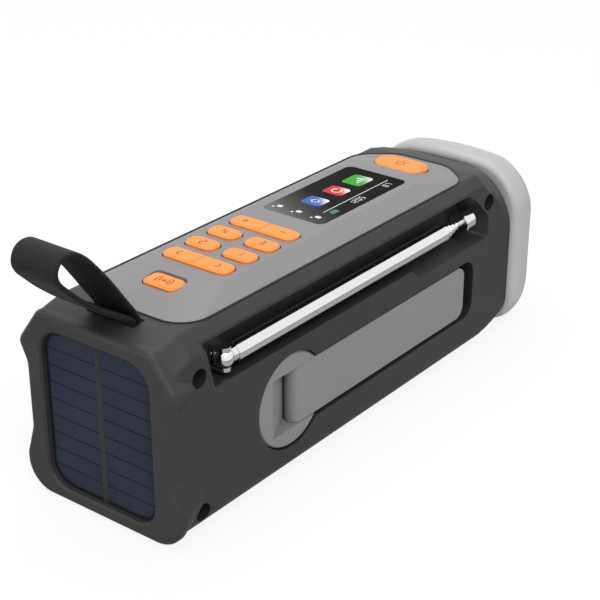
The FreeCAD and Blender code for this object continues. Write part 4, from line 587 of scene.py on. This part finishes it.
def lens_ring(inset, radii):
    """Points (y, z) round the lens: a rounded rectangle with a crowned top."""
    low, high = box("lens")
    half = high.y - inset
    floor = low.z + inset
    ceiling = high.z - LENS_CROWN - inset
    middle = (floor + ceiling) / 2
    corners = []
    for quarter, (side, up) in enumerate(((1, 1), (-1, 1), (-1, -1), (1, -1))):
        radius = radii[0] if up > 0 else radii[1]
        centre_y = side * (half - radius)
        centre_z = ceiling - radius if up > 0 else floor + radius
        angles = [math.pi / 2 * (quarter + index / LENS_STEPS) for index in range(LENS_STEPS + 1)]
        corners.append([(centre_y + radius * math.cos(a), centre_z + radius * math.sin(a)) for a in angles])
    ring = []
    for index, corner in enumerate(corners):
        start = Vector(corner[-1])
        end = Vector(corners[(index + 1) % len(corners)][0])
        ring += corner + [tuple(start.lerp(end, share / LENS_STEPS)) for share in range(1, LENS_STEPS)]
    rise = LENS_CROWN / (ceiling - middle)
    return [(y, z + rise * max(0.0, z - middle) * (1 - (y / half) ** 2)) for y, z in ring]


def dome_rings(rim, wall):
    """Stations (x, inset, radii) of the dome from its rim to its front, moved inwards by the wall."""
    rings = []
    for index in range(LENS_STEPS + 1):
        angle = math.pi / 2 * index / LENS_STEPS
        share = 1 - math.cos(angle)
        radii = [a + (b - a) * share - wall for a, b in zip(RIM_RADII, FRONT_RADII)]
        x = rim + LENS_LENGTH - DOME_LENGTH + (DOME_LENGTH - wall) * math.sin(angle)
        rings.append((x, wall + (DOME_INSET - wall) * share, radii))
    return rings


def rim_rings(rim):
    """Stations (x, inset, radii) of the rounded edge at the lens's rear face."""
    rings = []
    for index in range(RIM_STEPS):
        angle = math.pi / 2 * index / RIM_STEPS
        inset = RIM_ROUNDING * (1 - math.sin(angle))
        lip = (LENS_LENGTH - DOME_LENGTH) * (1 - math.cos(angle))
        rings.append((rim + lip, inset, [radius - inset for radius in RIM_RADII]))
    return rings


def cap_ring(bm, loop):
    """Close a ring of vertices with one ring of quads and a fan."""
    middle = sum((vert.co for vert in loop), Vector()) / len(loop)
    inner_loop = [bm.verts.new(vert.co.lerp(middle, 0.5)) for vert in loop]
    hub = bm.verts.new(middle)
    join_rings(bm, loop, inner_loop)
    for index, vert in enumerate(inner_loop):
        bm.faces.new((vert, inner_loop[(index + 1) % len(loop)], hub))


def lens_piece():
    """Frosted lens cap: dome, rounded rim, rear face, spigot and inside, in place of its plain solid."""
    low, high = box("lens")
    rim = high.x - LENS_LENGTH
    rings = dome_rings(rim, LENS_WALL)[::-1]
    rings.append((low.x, SPIGOT_INSET + LENS_WALL, SPIGOT_RADII))
    rings.append((low.x, SPIGOT_INSET, SPIGOT_RADII))
    rings.append((rim, SPIGOT_INSET, SPIGOT_RADII))
    rings += rim_rings(rim) + dome_rings(rim, 0.0)
    bm = bmesh.new()
    loops = []
    for x, inset, radii in rings:
        loops.append([bm.verts.new((x, y, z)) for y, z in lens_ring(inset, radii)])
    for before, after in zip(loops, loops[1:]):
        join_rings(bm, before, after)
    cap_ring(bm, loops[0])
    cap_ring(bm, loops[-1])
    made = piece("frosted_lens", bm, LENS, "housing", smooth=True)
    made.data.set_sharp_from_angle(angle=math.radians(SHARP_ANGLE))
    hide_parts("lens")


# ------------------------------------------------------------------------ the strap

# The strap's route round its pin and out to the loop's far end: distance from the shell's rear end and
# height, in millimetres.
STRAP_ROUTE = [
    (7.4, 51.15), (9.45, 53.2), (8.45, 56.8), (8.35, 59.4), (4.2, 65.6), (-4.4, 77.2), (-12.0, 84.7),
    (-17.2, 84.8), (-19.0, 80.6), (-15.0, 75.4), (-8.0, 69.1), (0.2, 63.1), (6.15, 59.6), (6.35, 56.8),
    (5.35, 53.2),
]
STRAP_WIDTH = 16.4 * MM
STRAP_THICKNESS = 1.3 * MM
# Steps from one point of the route to the next, and across the webbing.
SPAN_STEPS = 26
WIDTH_STEPS = 30


def smooth_loop(points, steps):
    """Points of a smooth closed curve through a list of points."""
    count = len(points)
    curve = []
    for index in range(count):
        before, start, end, after = (points[(index + shift) % count] for shift in (-1, 0, 1, 2))
        reach = (end - start).length
        lean_start = (end - before).normalized() * reach
        lean_end = (after - start).normalized() * reach
        for step_index in range(steps):
            t = step_index / steps
            square = t * t
            cube = square * t
            curve.append(
                start * (2 * cube - 3 * square + 1)
                + lean_start * (cube - 2 * square + t)
                + end * (3 * square - 2 * cube)
                + lean_end * (cube - square)
            )
    return curve


def strap_profile():
    """Section (offset across, height) of the webbing, with rounded selvedges."""
    half_width = STRAP_WIDTH / 2
    half_thick = STRAP_THICKNESS / 2
    profile = []
    for index in range(WIDTH_STEPS + 1):
        offset = -half_width + STRAP_WIDTH * index / WIDTH_STEPS
        edge = max(abs(offset) - (half_width - half_thick), 0.0) / half_thick
        profile.append((offset, half_thick * math.sqrt(max(1 - edge * edge, 0.0))))
    return profile + [(offset, -height) for offset, height in reversed(profile[1:-1])]


def strap():
    """Webbing loop, whose UVs are lengths along and across it, in place of its plain solid."""
    route = [Vector((SHELL_X + along * MM, 0, up * MM)) for along, up in STRAP_ROUTE]
    line = smooth_loop(route, SPAN_STEPS)
    profile = strap_profile()
    bm = bmesh.new()
    layer = bm.loops.layers.uv.new("strap")
    rings = []
    lengths = [0.0]
    count = len(line)
    for index, point in enumerate(line):
        following = line[(index + 1) % count]
        along = (following - line[index - 1]).normalized()
        normal = Vector((along.z, 0, -along.x))
        ring = [point + normal * height + Vector((0, offset, 0)) for offset, height in profile]
        rings.append([bm.verts.new(place) for place in ring])
        lengths.append(lengths[-1] + (following - point).length)
    for index in range(count):
        ring = rings[index]
        following = rings[(index + 1) % count]
        ends = (lengths[index], lengths[index], lengths[index + 1], lengths[index + 1])
        for place in range(len(profile)):
            after = (place + 1) % len(profile)
            face = bm.faces.new((ring[place], ring[after], following[after], following[place]))
            sides = (profile[place][0], profile[after][0], profile[after][0], profile[place][0])
            for loop, end, side in zip(face.loops, ends, sides):
                loop[layer].uv = (end, side)
    made = piece("strap_webbing", bm, WEBBING, "housing", smooth=True)
    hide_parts("wrist_strap")


# ---------------------------------------------------------------- solar cell strips

STRIP_ROWS = 9
STRIP_GAP = 0.4 * MM
STRIP_MARGIN = 0.9 * MM
STRIP_CORNER = 6.1 * MM
STRIP_END_STEPS = 6
STRIP_THICKNESS = 0.05 * MM
HALF_DIVIDER = 1.0 * MM
DIVIDER_ROUNDING = 0.1 * MM
DIVIDER_THICKNESS = 0.06 * MM


def solar_strips():
    """Two columns of silicon strips on the solar panel, and the bar between them."""
    low, high = box("solar_panel")
    bottom = low.z + STRIP_MARGIN
    top = high.z - STRIP_MARGIN
    edge = high.y - STRIP_MARGIN
    pitch = (top - bottom + STRIP_GAP) / STRIP_ROWS
    bm = bmesh.new()
    for row in range(STRIP_ROWS):
        start = bottom + pitch * row
        end = start + pitch - STRIP_GAP
        outer_end = []
        for index in range(STRIP_END_STEPS + 1):
            z = start + (end - start) * index / STRIP_END_STEPS
            over = max(bottom + STRIP_CORNER - z, z - (top - STRIP_CORNER), 0.0)
            reach = edge - STRIP_CORNER + math.sqrt(max(STRIP_CORNER ** 2 - over ** 2, 0.0))
            outer_end.append((reach, z))
        for side in (-1, 1):
            outline = [(HALF_DIVIDER, start)] + outer_end + [(HALF_DIVIDER, end)]
            slab(bm, [(side * y, z) for y, z in outline], on_rear(low.x), 0.0, STRIP_THICKNESS)
    piece("solar_strips", bm, SILICON, "housing")
    bm = bmesh.new()
    size = (2 * HALF_DIVIDER, high.z - low.z)
    outline = rounded_outline((0, (low.z + high.z) / 2), size, DIVIDER_ROUNDING)
    slab(bm, outline, on_rear(low.x), 0.0, DIVIDER_THICKNESS)
    piece("solar_divider", bm, RUBBER, "housing")


# -------------------------------------------------------------------- key legends

LEGEND = printed("legend_ink", (0.17, 0.042, 0.013))
STROKE = 0.4 * MM
STROKE_GAP = 0.6 * STROKE
LEGEND_HEIGHT = 2.6 * MM
# Signs on the long keys: distance from the key's middle, half their size, and how far an arrow's tip and
# tail are from its middle, as a share of that.
SIGN_PLACE = 7.1 * MM
SIGN_REACH = 1.1 * MM
ARROW_TIP = 0.8
ARROW_TAIL = 0.6


def facing_rear(centre, outlines):
    """Outlines drawn about the origin, set round a centre: their right is -Y and their up is +X."""
    return [[(centre.x + up, centre.y - right) for right, up in outline] for outline in outlines]


def sign_strokes(spot, plus):
    """Strokes of a minus, or of a plus."""
    strokes = [bar_outline(spot - Vector((SIGN_REACH, 0)), spot + Vector((SIGN_REACH, 0)), STROKE)]
    if plus:
        for end in (-1, 1):
            start = spot + Vector((0, end * STROKE_GAP))
            strokes.append(bar_outline(start, spot + Vector((0, end * SIGN_REACH)), STROKE))
    return strokes


def arrow_strokes(spot, side):
    """Strokes of an arrow head that points away from the key's middle."""
    tip = spot + Vector((side * SIGN_REACH * ARROW_TIP, 0))
    strokes = []
    for end in (-1, 1):
        tail = spot + Vector((-side * SIGN_REACH * ARROW_TAIL, end * SIGN_REACH))
        strokes.append(bar_outline(tail, tip + Vector((0, end * STROKE_GAP)), STROKE))
    return strokes


def key_legends():
    """Plain digits, signs and arrows printed on the orange keys."""
    for number in range(1, 5):
        name = "small_key_%d" % number
        low, high = box(name)
        digit = facing_rear((low + high) / 2, digit_outlines(str(number), (0, 0), LEGEND_HEIGHT, STROKE))
        printed_piece(name + "_digit", digit, high.z, LEGEND, name)
    for name in ("rear_rocker_key", "front_rocker_key"):
        low, high = box(name)
        strokes = []
        for side in (-1, 1):
            spot = Vector((side * SIGN_PLACE, 0))
            if name == "front_rocker_key":
                strokes += sign_strokes(spot, side == -1)
            else:
                strokes += arrow_strokes(spot, side)
        signs = facing_rear((low + high) / 2, strokes)
        printed_piece(name + "_signs", signs, high.z, LEGEND, name)


def alarm_mark():
    """Dot between two pairs of arcs on the alarm key."""
    low, high = box("alarm_key")
    centre = tuple(((low + high) / 2).xy)
    dot_size = (1.1 * MM, 1.1 * MM)
    dot_corner = 0.5 * MM
    arc_radii = (1.5 * MM, 2.6 * MM)
    half_sweep = 0.7
    outlines = [rounded_outline(centre, dot_size, dot_corner)]
    for radius in arc_radii:
        for middle in (math.pi / 2, math.pi * 3 / 2):
            outlines.append(arc_outline(centre, radius, STROKE, middle - half_sweep, 2 * half_sweep))
    printed_piece("alarm_key_mark", outlines, high.z, LEGEND, "alarm_key")


def lamp_mark():
    """Lamp with three rays on the lamp button."""
    low, high = box("lamp_button")
    middle = (low + high) / 2
    spot = Vector((middle.x - 0.8 * MM, middle.y))
    front_radius = 1.5 * MM
    back = spot - Vector((0.5 * MM, 0))
    half_back = Vector((0, 1.7 * MM))
    ray_start, ray_end = 2.2 * MM, 3.3 * MM
    ray_angles = (-0.8, 0.0, 0.8)
    outlines = [arc_outline(spot, front_radius, STROKE, -math.pi / 2, math.pi)]
    outlines.append(bar_outline(back - half_back, back + half_back, STROKE))
    for angle in ray_angles:
        ray = Vector((math.cos(angle), math.sin(angle)))
        outlines.append(bar_outline(spot + ray * ray_start, spot + ray * ray_end, STROKE))
    printed_piece("lamp_button_mark", outlines, high.z, LEGEND, "lamp_button")


# -------------------------------------------------------------------- the display

# Tiles on the display: name, colour, place along the panel and length.
TILES = (
    ("green", (0.05, 0.30, 0.03), 34.6 * MM, 8.2 * MM),
    ("red", (0.50, 0.035, 0.05), 23.6 * MM, 6.2 * MM),
    ("blue", (0.045, 0.12, 0.36), 12.8 * MM, 6.2 * MM),
)
TILE_Y = 1.6 * MM
TILE_WIDTH = 7.2 * MM
TILE_CORNER = 1.2 * MM
# The thin line near the display's edge, and the numbers and the level mark beyond it.
LINE_X = (7.0 * MM, 40.6 * MM)
LINE_Y = -5.8 * MM
LINE_WIDTH = 0.28 * MM
NUMBERS = (("1205", 18.5 * MM), ("87", 36.2 * MM))
NUMBER_Y = -8.0 * MM
NUMBER_PITCH = 1.75 * MM
NUMBER_HEIGHT = 2.0 * MM
NUMBER_STROKE = 0.26 * MM
LEVEL_X = 9.6 * MM
LEVEL_SIZE = (3.2 * MM, 2.0 * MM)
LEVEL_CORNER = 0.7 * MM
# Pairs of dots at the display's rear end: a large one, and a small one beside it.
DOT_ROWS = (7.6 * MM, 0.4 * MM, -6.8 * MM)
LARGE_DOT_X = 3.2 * MM
LARGE_DOT_SIZE = (1.5 * MM, 1.9 * MM)
LARGE_DOT_CORNER = 0.5 * MM
SMALL_DOT_X = 1.9 * MM
SMALL_DOT_SHIFT = 1.6 * MM
SMALL_DOT_SIZE = (0.8 * MM, 0.8 * MM)
SMALL_DOT_CORNER = 0.35 * MM


def lit(name, color, fade=None):
    """Lit mark under the display's glass."""
    return printed("lit_" + name, color, glow=0.1, ior=1.12, fade=fade)


def rising_bars(x):
    """Three bars, each longer than the one before."""
    pitch = 1.5 * MM
    rise = 1.0 * MM
    foot = TILE_Y - 1.8 * MM
    lowest_top = TILE_Y - 0.6 * MM
    strokes = []
    for index in range(3):
        bar_x = x + (index - 1) * pitch
        strokes.append(bar_outline((bar_x, foot), (bar_x, lowest_top + index * rise), 2 * STROKE))
    return strokes


def chevrons(x):
    """Two chevrons that point away from each other."""
    tip_reach, tip_gap = 1.2 * MM, 0.18 * MM
    tail_reach, tail_gap = -0.1 * MM, 1.6 * MM
    strokes = []
    for side in (-1, 1):
        for end in (-1, 1):
            tip = (x + side * tip_reach, TILE_Y + end * tip_gap)
            tail = (x + side * tail_reach, TILE_Y + end * tail_gap)
            strokes.append(bar_outline(tail, tip, STROKE))
    return strokes


def display_tiles(height, white):
    """Generic lit tiles, each paler towards its far corner, with a motif on each."""
    for name, color, x, length in TILES:
        slant = x - TILE_Y
        material = lit(name, color, (slant + 0.10 * length, slant + 1.15 * length))
        outline = rounded_outline((x, TILE_Y), (length, TILE_WIDTH), TILE_CORNER)
        printed_piece("display_tile_" + name, [outline], height, material, "housing")
    green_x, red_x, blue_x = (x for name, color, x, length in TILES)
    ring = arc_outline((red_x, TILE_Y), 1.5 * MM, 0.5 * MM, 0.4, 5.4, 24)
    marks = rising_bars(green_x) + [ring] + chevrons(blue_x)
    printed_piece("display_tile_marks", marks, height + INK, white, "housing")


def display_lines(height, white):
    """A thin line, plain numbers, pairs of dots and a level mark."""
    lines = [bar_outline((LINE_X[0], LINE_Y), (LINE_X[1], LINE_Y), LINE_WIDTH)]
    for digits, start in NUMBERS:
        for index, digit in enumerate(digits):
            centre = (start + index * NUMBER_PITCH, NUMBER_Y)
            lines += digit_outlines(digit, centre, NUMBER_HEIGHT, NUMBER_STROKE)
    for y in DOT_ROWS:
        lines.append(rounded_outline((LARGE_DOT_X, y), LARGE_DOT_SIZE, LARGE_DOT_CORNER))
        small = (SMALL_DOT_X, y + SMALL_DOT_SHIFT)
        lines.append(rounded_outline(small, SMALL_DOT_SIZE, SMALL_DOT_CORNER))
    printed_piece("display_lines", lines, height, white, "housing")
    level = rounded_outline((LEVEL_X, NUMBER_Y), LEVEL_SIZE, LEVEL_CORNER)
    teal = lit("teal", (0.05, 0.20, 0.17))
    printed_piece("display_level", [level], height, teal, "housing")


def display_marks():
    """Everything that the display shows."""
    height = box("display_window")[1].z
    white = lit("white", (0.62, 0.64, 0.65))
    display_tiles(height, white)
    display_lines(height, white)


# ---------------------------------------------------------------------- panel shadow strip

# The strip is painted shadow for the gap at the panel's edge. It follows the panel's outline within
# DECK_REACH of the deck's height. Then come its lowest and highest point, and its inner and outer distance
# from the panel's edge.
DECK = 58.8 * MM
DECK_REACH = 0.1 * MM
SHADOW_STRIP_HEIGHTS = (DECK - 0.5 * MM, DECK + 0.3 * MM)
SHADOW_STRIP_MARGINS = (0.02 * MM, 0.45 * MM)


def hull_outline(node, low, high):
    """Outline seen from above of a node's vertices between two heights."""
    spots = set()
    for vertex in nodes[node].data.vertices:
        place = nodes[node].matrix_world @ vertex.co
        if low <= place.z <= high:
            spots.add((round(place.x, 6), round(place.y, 6)))
    outline = []
    for ordered in (sorted(spots), sorted(spots, reverse=True)):
        chain = []
        for x, y in ordered:
            while len(chain) > 1:
                (x0, y0), (x1, y1) = chain[-2:]
                if (x1 - x0) * (y - y0) - (y1 - y0) * (x - x0) > 0:
                    break
                chain.pop()
            chain.append((x, y))
        outline += chain[:-1]
    return outline


def offset_outline(outline, margin):
    """A convex outline, counter-clockwise, moved outwards by margin."""
    moved = []
    for index, spot in enumerate(outline):
        corner = Vector(spot)
        before = (corner - Vector(outline[index - 1])).normalized()
        after = (Vector(outline[(index + 1) % len(outline)]) - corner).normalized()
        along = (before + after).normalized()
        moved.append(corner + Vector((along.y, -along.x)) * margin)
    return moved


def panel_shadow_strip():
    """Thin dark strip round the top panel's edge, painted shadow of the gap there."""
    outline = hull_outline("top_panel", DECK - DECK_REACH, DECK + DECK_REACH)
    bm = bmesh.new()
    rings = []
    for margin in SHADOW_STRIP_MARGINS:
        spots = offset_outline(outline, margin)
        for height in SHADOW_STRIP_HEIGHTS:
            rings.append([bm.verts.new((spot.x, spot.y, height)) for spot in spots])
    inner_low, inner_high, outer_low, outer_high = rings
    around = (inner_low, inner_high, outer_high, outer_low, inner_low)
    for first, second in zip(around, around[1:]):
        join_rings(bm, first, second)
    piece("panel_shadow_strip", bm, RUBBER, "housing")


# -------------------------------------------------------------------- antenna trim

# A lip's middle lies within the tube's surface by LIP_SUNK of the radius of its wire.
LIP_WIRE = 0.17 * MM
LIP_SUNK = 0.7
LIP_STEPS = 40
WIRE_STEPS = 10


def ring_mesh(centre, radius, wire):
    """Round ring about an axis along X."""
    bm = bmesh.new()
    rings = []
    for index in range(LIP_STEPS):
        angle = math.tau * index / LIP_STEPS
        outward = Vector((0, math.cos(angle), math.sin(angle)))
        ring = []
        for part in range(WIRE_STEPS):
            turn = math.tau * part / WIRE_STEPS
            offset = outward * (radius + wire * math.cos(turn)) + Vector((wire * math.sin(turn), 0, 0))
            ring.append(bm.verts.new(centre + offset))
        rings.append(ring)
    for index in range(LIP_STEPS):
        join_rings(bm, rings[index], rings[(index + 1) % LIP_STEPS])
    return bm


def antenna_lips():
    """Rolled mouth of each tube that a thinner one comes out of."""
    for index in range(1, 5):
        low, high = box("antenna_section_%d" % index)
        centre = (low + high) / 2
        centre.x = high.x - LIP_WIRE
        radius = (high.z - low.z) / 2 - LIP_WIRE * LIP_SUNK
        bm = ring_mesh(centre, radius, LIP_WIRE)
        piece("antenna_lip_%d" % index, bm, CHROME, "antenna", smooth=True)


# ---------------------------------------------------------------------- the stage

# FLOOR_WHITE is how much of the floor is plain white to the camera, and the rest keeps the object's shadow.
# Gloss sees the floor grey near the object, then a dark band, then white. BAND_NEAR and BAND_FAR are the
# band's distances from the middle plane in metres, and EDGE values are how wide each change is.
FLOOR_REACH = 4.0
FLOOR_COLOR = (0.8, 0.8, 0.8, 1)
FLOOR_WHITE = 0.86
FLOOR_REFLECTION = 0.42
BAND_GLOW = 0.06
BAND_NEAR = 0.19
BAND_FAR = 0.24
NEAR_EDGE = 0.01
FAR_EDGE = 0.02

# The world's strength away from the camera and gloss, and each lamp's name, place, size and power.
AMBIENT = 0.5
LAMPS = (
    ("key_light", (-0.35, -0.9, 1.1), 0.9, 11.0),
    ("fill_light", (-1.1, 0.2, 0.6), 0.9, 4.0),
    ("top_light", (0.1, 0.3, 1.3), 1.0, 9.0),
)
LAMP_TARGET = (0, 0, 0.03)

# The camera's place in millimetres and the directions behind it and to its right, fitted to the photograph.
CAMERA_PLACE = (-326.98, -256.20, 234.45)
CAMERA_BACK = (-0.7116, -0.5521, 0.4344)
CAMERA_RIGHT = (0.613, -0.790, 0.0)
CAMERA_LENS = 90.96


def mixed(tree, factor, first, second):
    """Shader node mixed from first to second."""
    node = tree.nodes.new("ShaderNodeMixShader")
    tree.links.new(factor, node.inputs["Fac"])
    tree.links.new(first.outputs[0], node.inputs[1])
    tree.links.new(second.outputs[0], node.inputs[2])
    return node


def floor_material():
    """White that keeps shadows, with grey, a dark band and white for gloss."""
    material = bpy.data.materials.new("floor_white")
    material.use_nodes = True
    tree = material.node_tree
    tree.nodes.clear()
    output = tree.nodes.new("ShaderNodeOutputMaterial")
    path = tree.nodes.new("ShaderNodeLightPath")
    diffuse = tree.nodes.new("ShaderNodeBsdfDiffuse")
    diffuse.inputs["Color"].default_value = FLOOR_COLOR
    white = tree.nodes.new("ShaderNodeEmission")
    seen = maths(tree, "MULTIPLY", path.outputs["Is Camera Ray"], FLOOR_WHITE)
    plain = mixed(tree, seen, diffuse, white)
    away = maths(tree, "ABSOLUTE", separate(tree, coordinates(tree))[1])
    in_band = step(tree, away, BAND_NEAR - NEAR_EDGE, BAND_NEAR)
    beyond = step(tree, away, BAND_FAR, BAND_FAR + FAR_EDGE)
    loss = maths(tree, "MULTIPLY", in_band, FLOOR_REFLECTION - BAND_GLOW)
    gain = maths(tree, "MULTIPLY", beyond, 1.0 - BAND_GLOW)
    strength = maths(tree, "ADD", maths(tree, "SUBTRACT", FLOOR_REFLECTION, loss), gain)
    reflected = tree.nodes.new("ShaderNodeEmission")
    tree.links.new(strength, reflected.inputs["Strength"])
    whole = mixed(tree, path.outputs["Is Glossy Ray"], plain, reflected)
    tree.links.new(whole.outputs[0], output.inputs["Surface"])
    return material


def studio_floor():
    """White floor under the object."""
    mesh = bpy.data.meshes.new("floor")
    corners = [(a * FLOOR_REACH, b * FLOOR_REACH, 0) for a, b in ((-1, -1), (1, -1), (1, 1), (-1, 1))]
    mesh.from_pydata(corners, [], [(0, 1, 2, 3)])
    mesh.materials.append(floor_material())
    floor = bpy.data.objects.new("floor", mesh)
    bpy.context.scene.collection.objects.link(floor)


def studio_light():
    """World that is white to the camera, gloss and glass, and three soft lamps."""
    world = bpy.data.worlds.new("studio")
    bpy.context.scene.world = world
    world.use_nodes = True
    tree = world.node_tree
    background = tree.nodes["Background"]
    background.inputs["Color"].default_value = (1, 1, 1, 1)
    path = tree.nodes.new("ShaderNodeLightPath")
    seen = maths(tree, "MAXIMUM", path.outputs["Is Camera Ray"], path.outputs["Is Transmission Ray"])
    seen = maths(tree, "MAXIMUM", seen, path.outputs["Is Glossy Ray"])
    tree.links.new(spread(tree, seen, AMBIENT, 1.0), background.inputs["Strength"])
    for name, place, size, power in LAMPS:
        data = bpy.data.lights.new(name, "AREA")
        data.shape = "SQUARE"
        data.size = size
        data.energy = power
        lamp = bpy.data.objects.new(name, data)
        lamp.location = place
        lamp.rotation_euler = (Vector(LAMP_TARGET) - Vector(place)).to_track_quat("-Z", "Y").to_euler()
        bpy.context.scene.collection.objects.link(lamp)


def camera():
    """Camera at the photograph's viewing angle."""
    data = bpy.data.cameras.new("camera")
    data.lens = CAMERA_LENS
    data.sensor_width = 36.0
    data.clip_start = 0.01
    eye = bpy.data.objects.new("camera", data)
    back = Vector(CAMERA_BACK).normalized()
    right = Vector(CAMERA_RIGHT).normalized()
    up = back.cross(right)
    turn = Matrix((right, up, back)).transposed().to_4x4()
    eye.matrix_world = Matrix.Translation(Vector(CAMERA_PLACE) * MM) @ turn
    bpy.context.scene.collection.objects.link(eye)
    bpy.context.scene.camera = eye
    bpy.context.scene.view_settings.view_transform = "Standard"


camera()
dress_nodes()
lens_piece()
strap()
solar_strips()
key_legends()
alarm_mark()
lamp_mark()
display_marks()
panel_shadow_strip()
antenna_lips()
studio_floor()
studio_light()
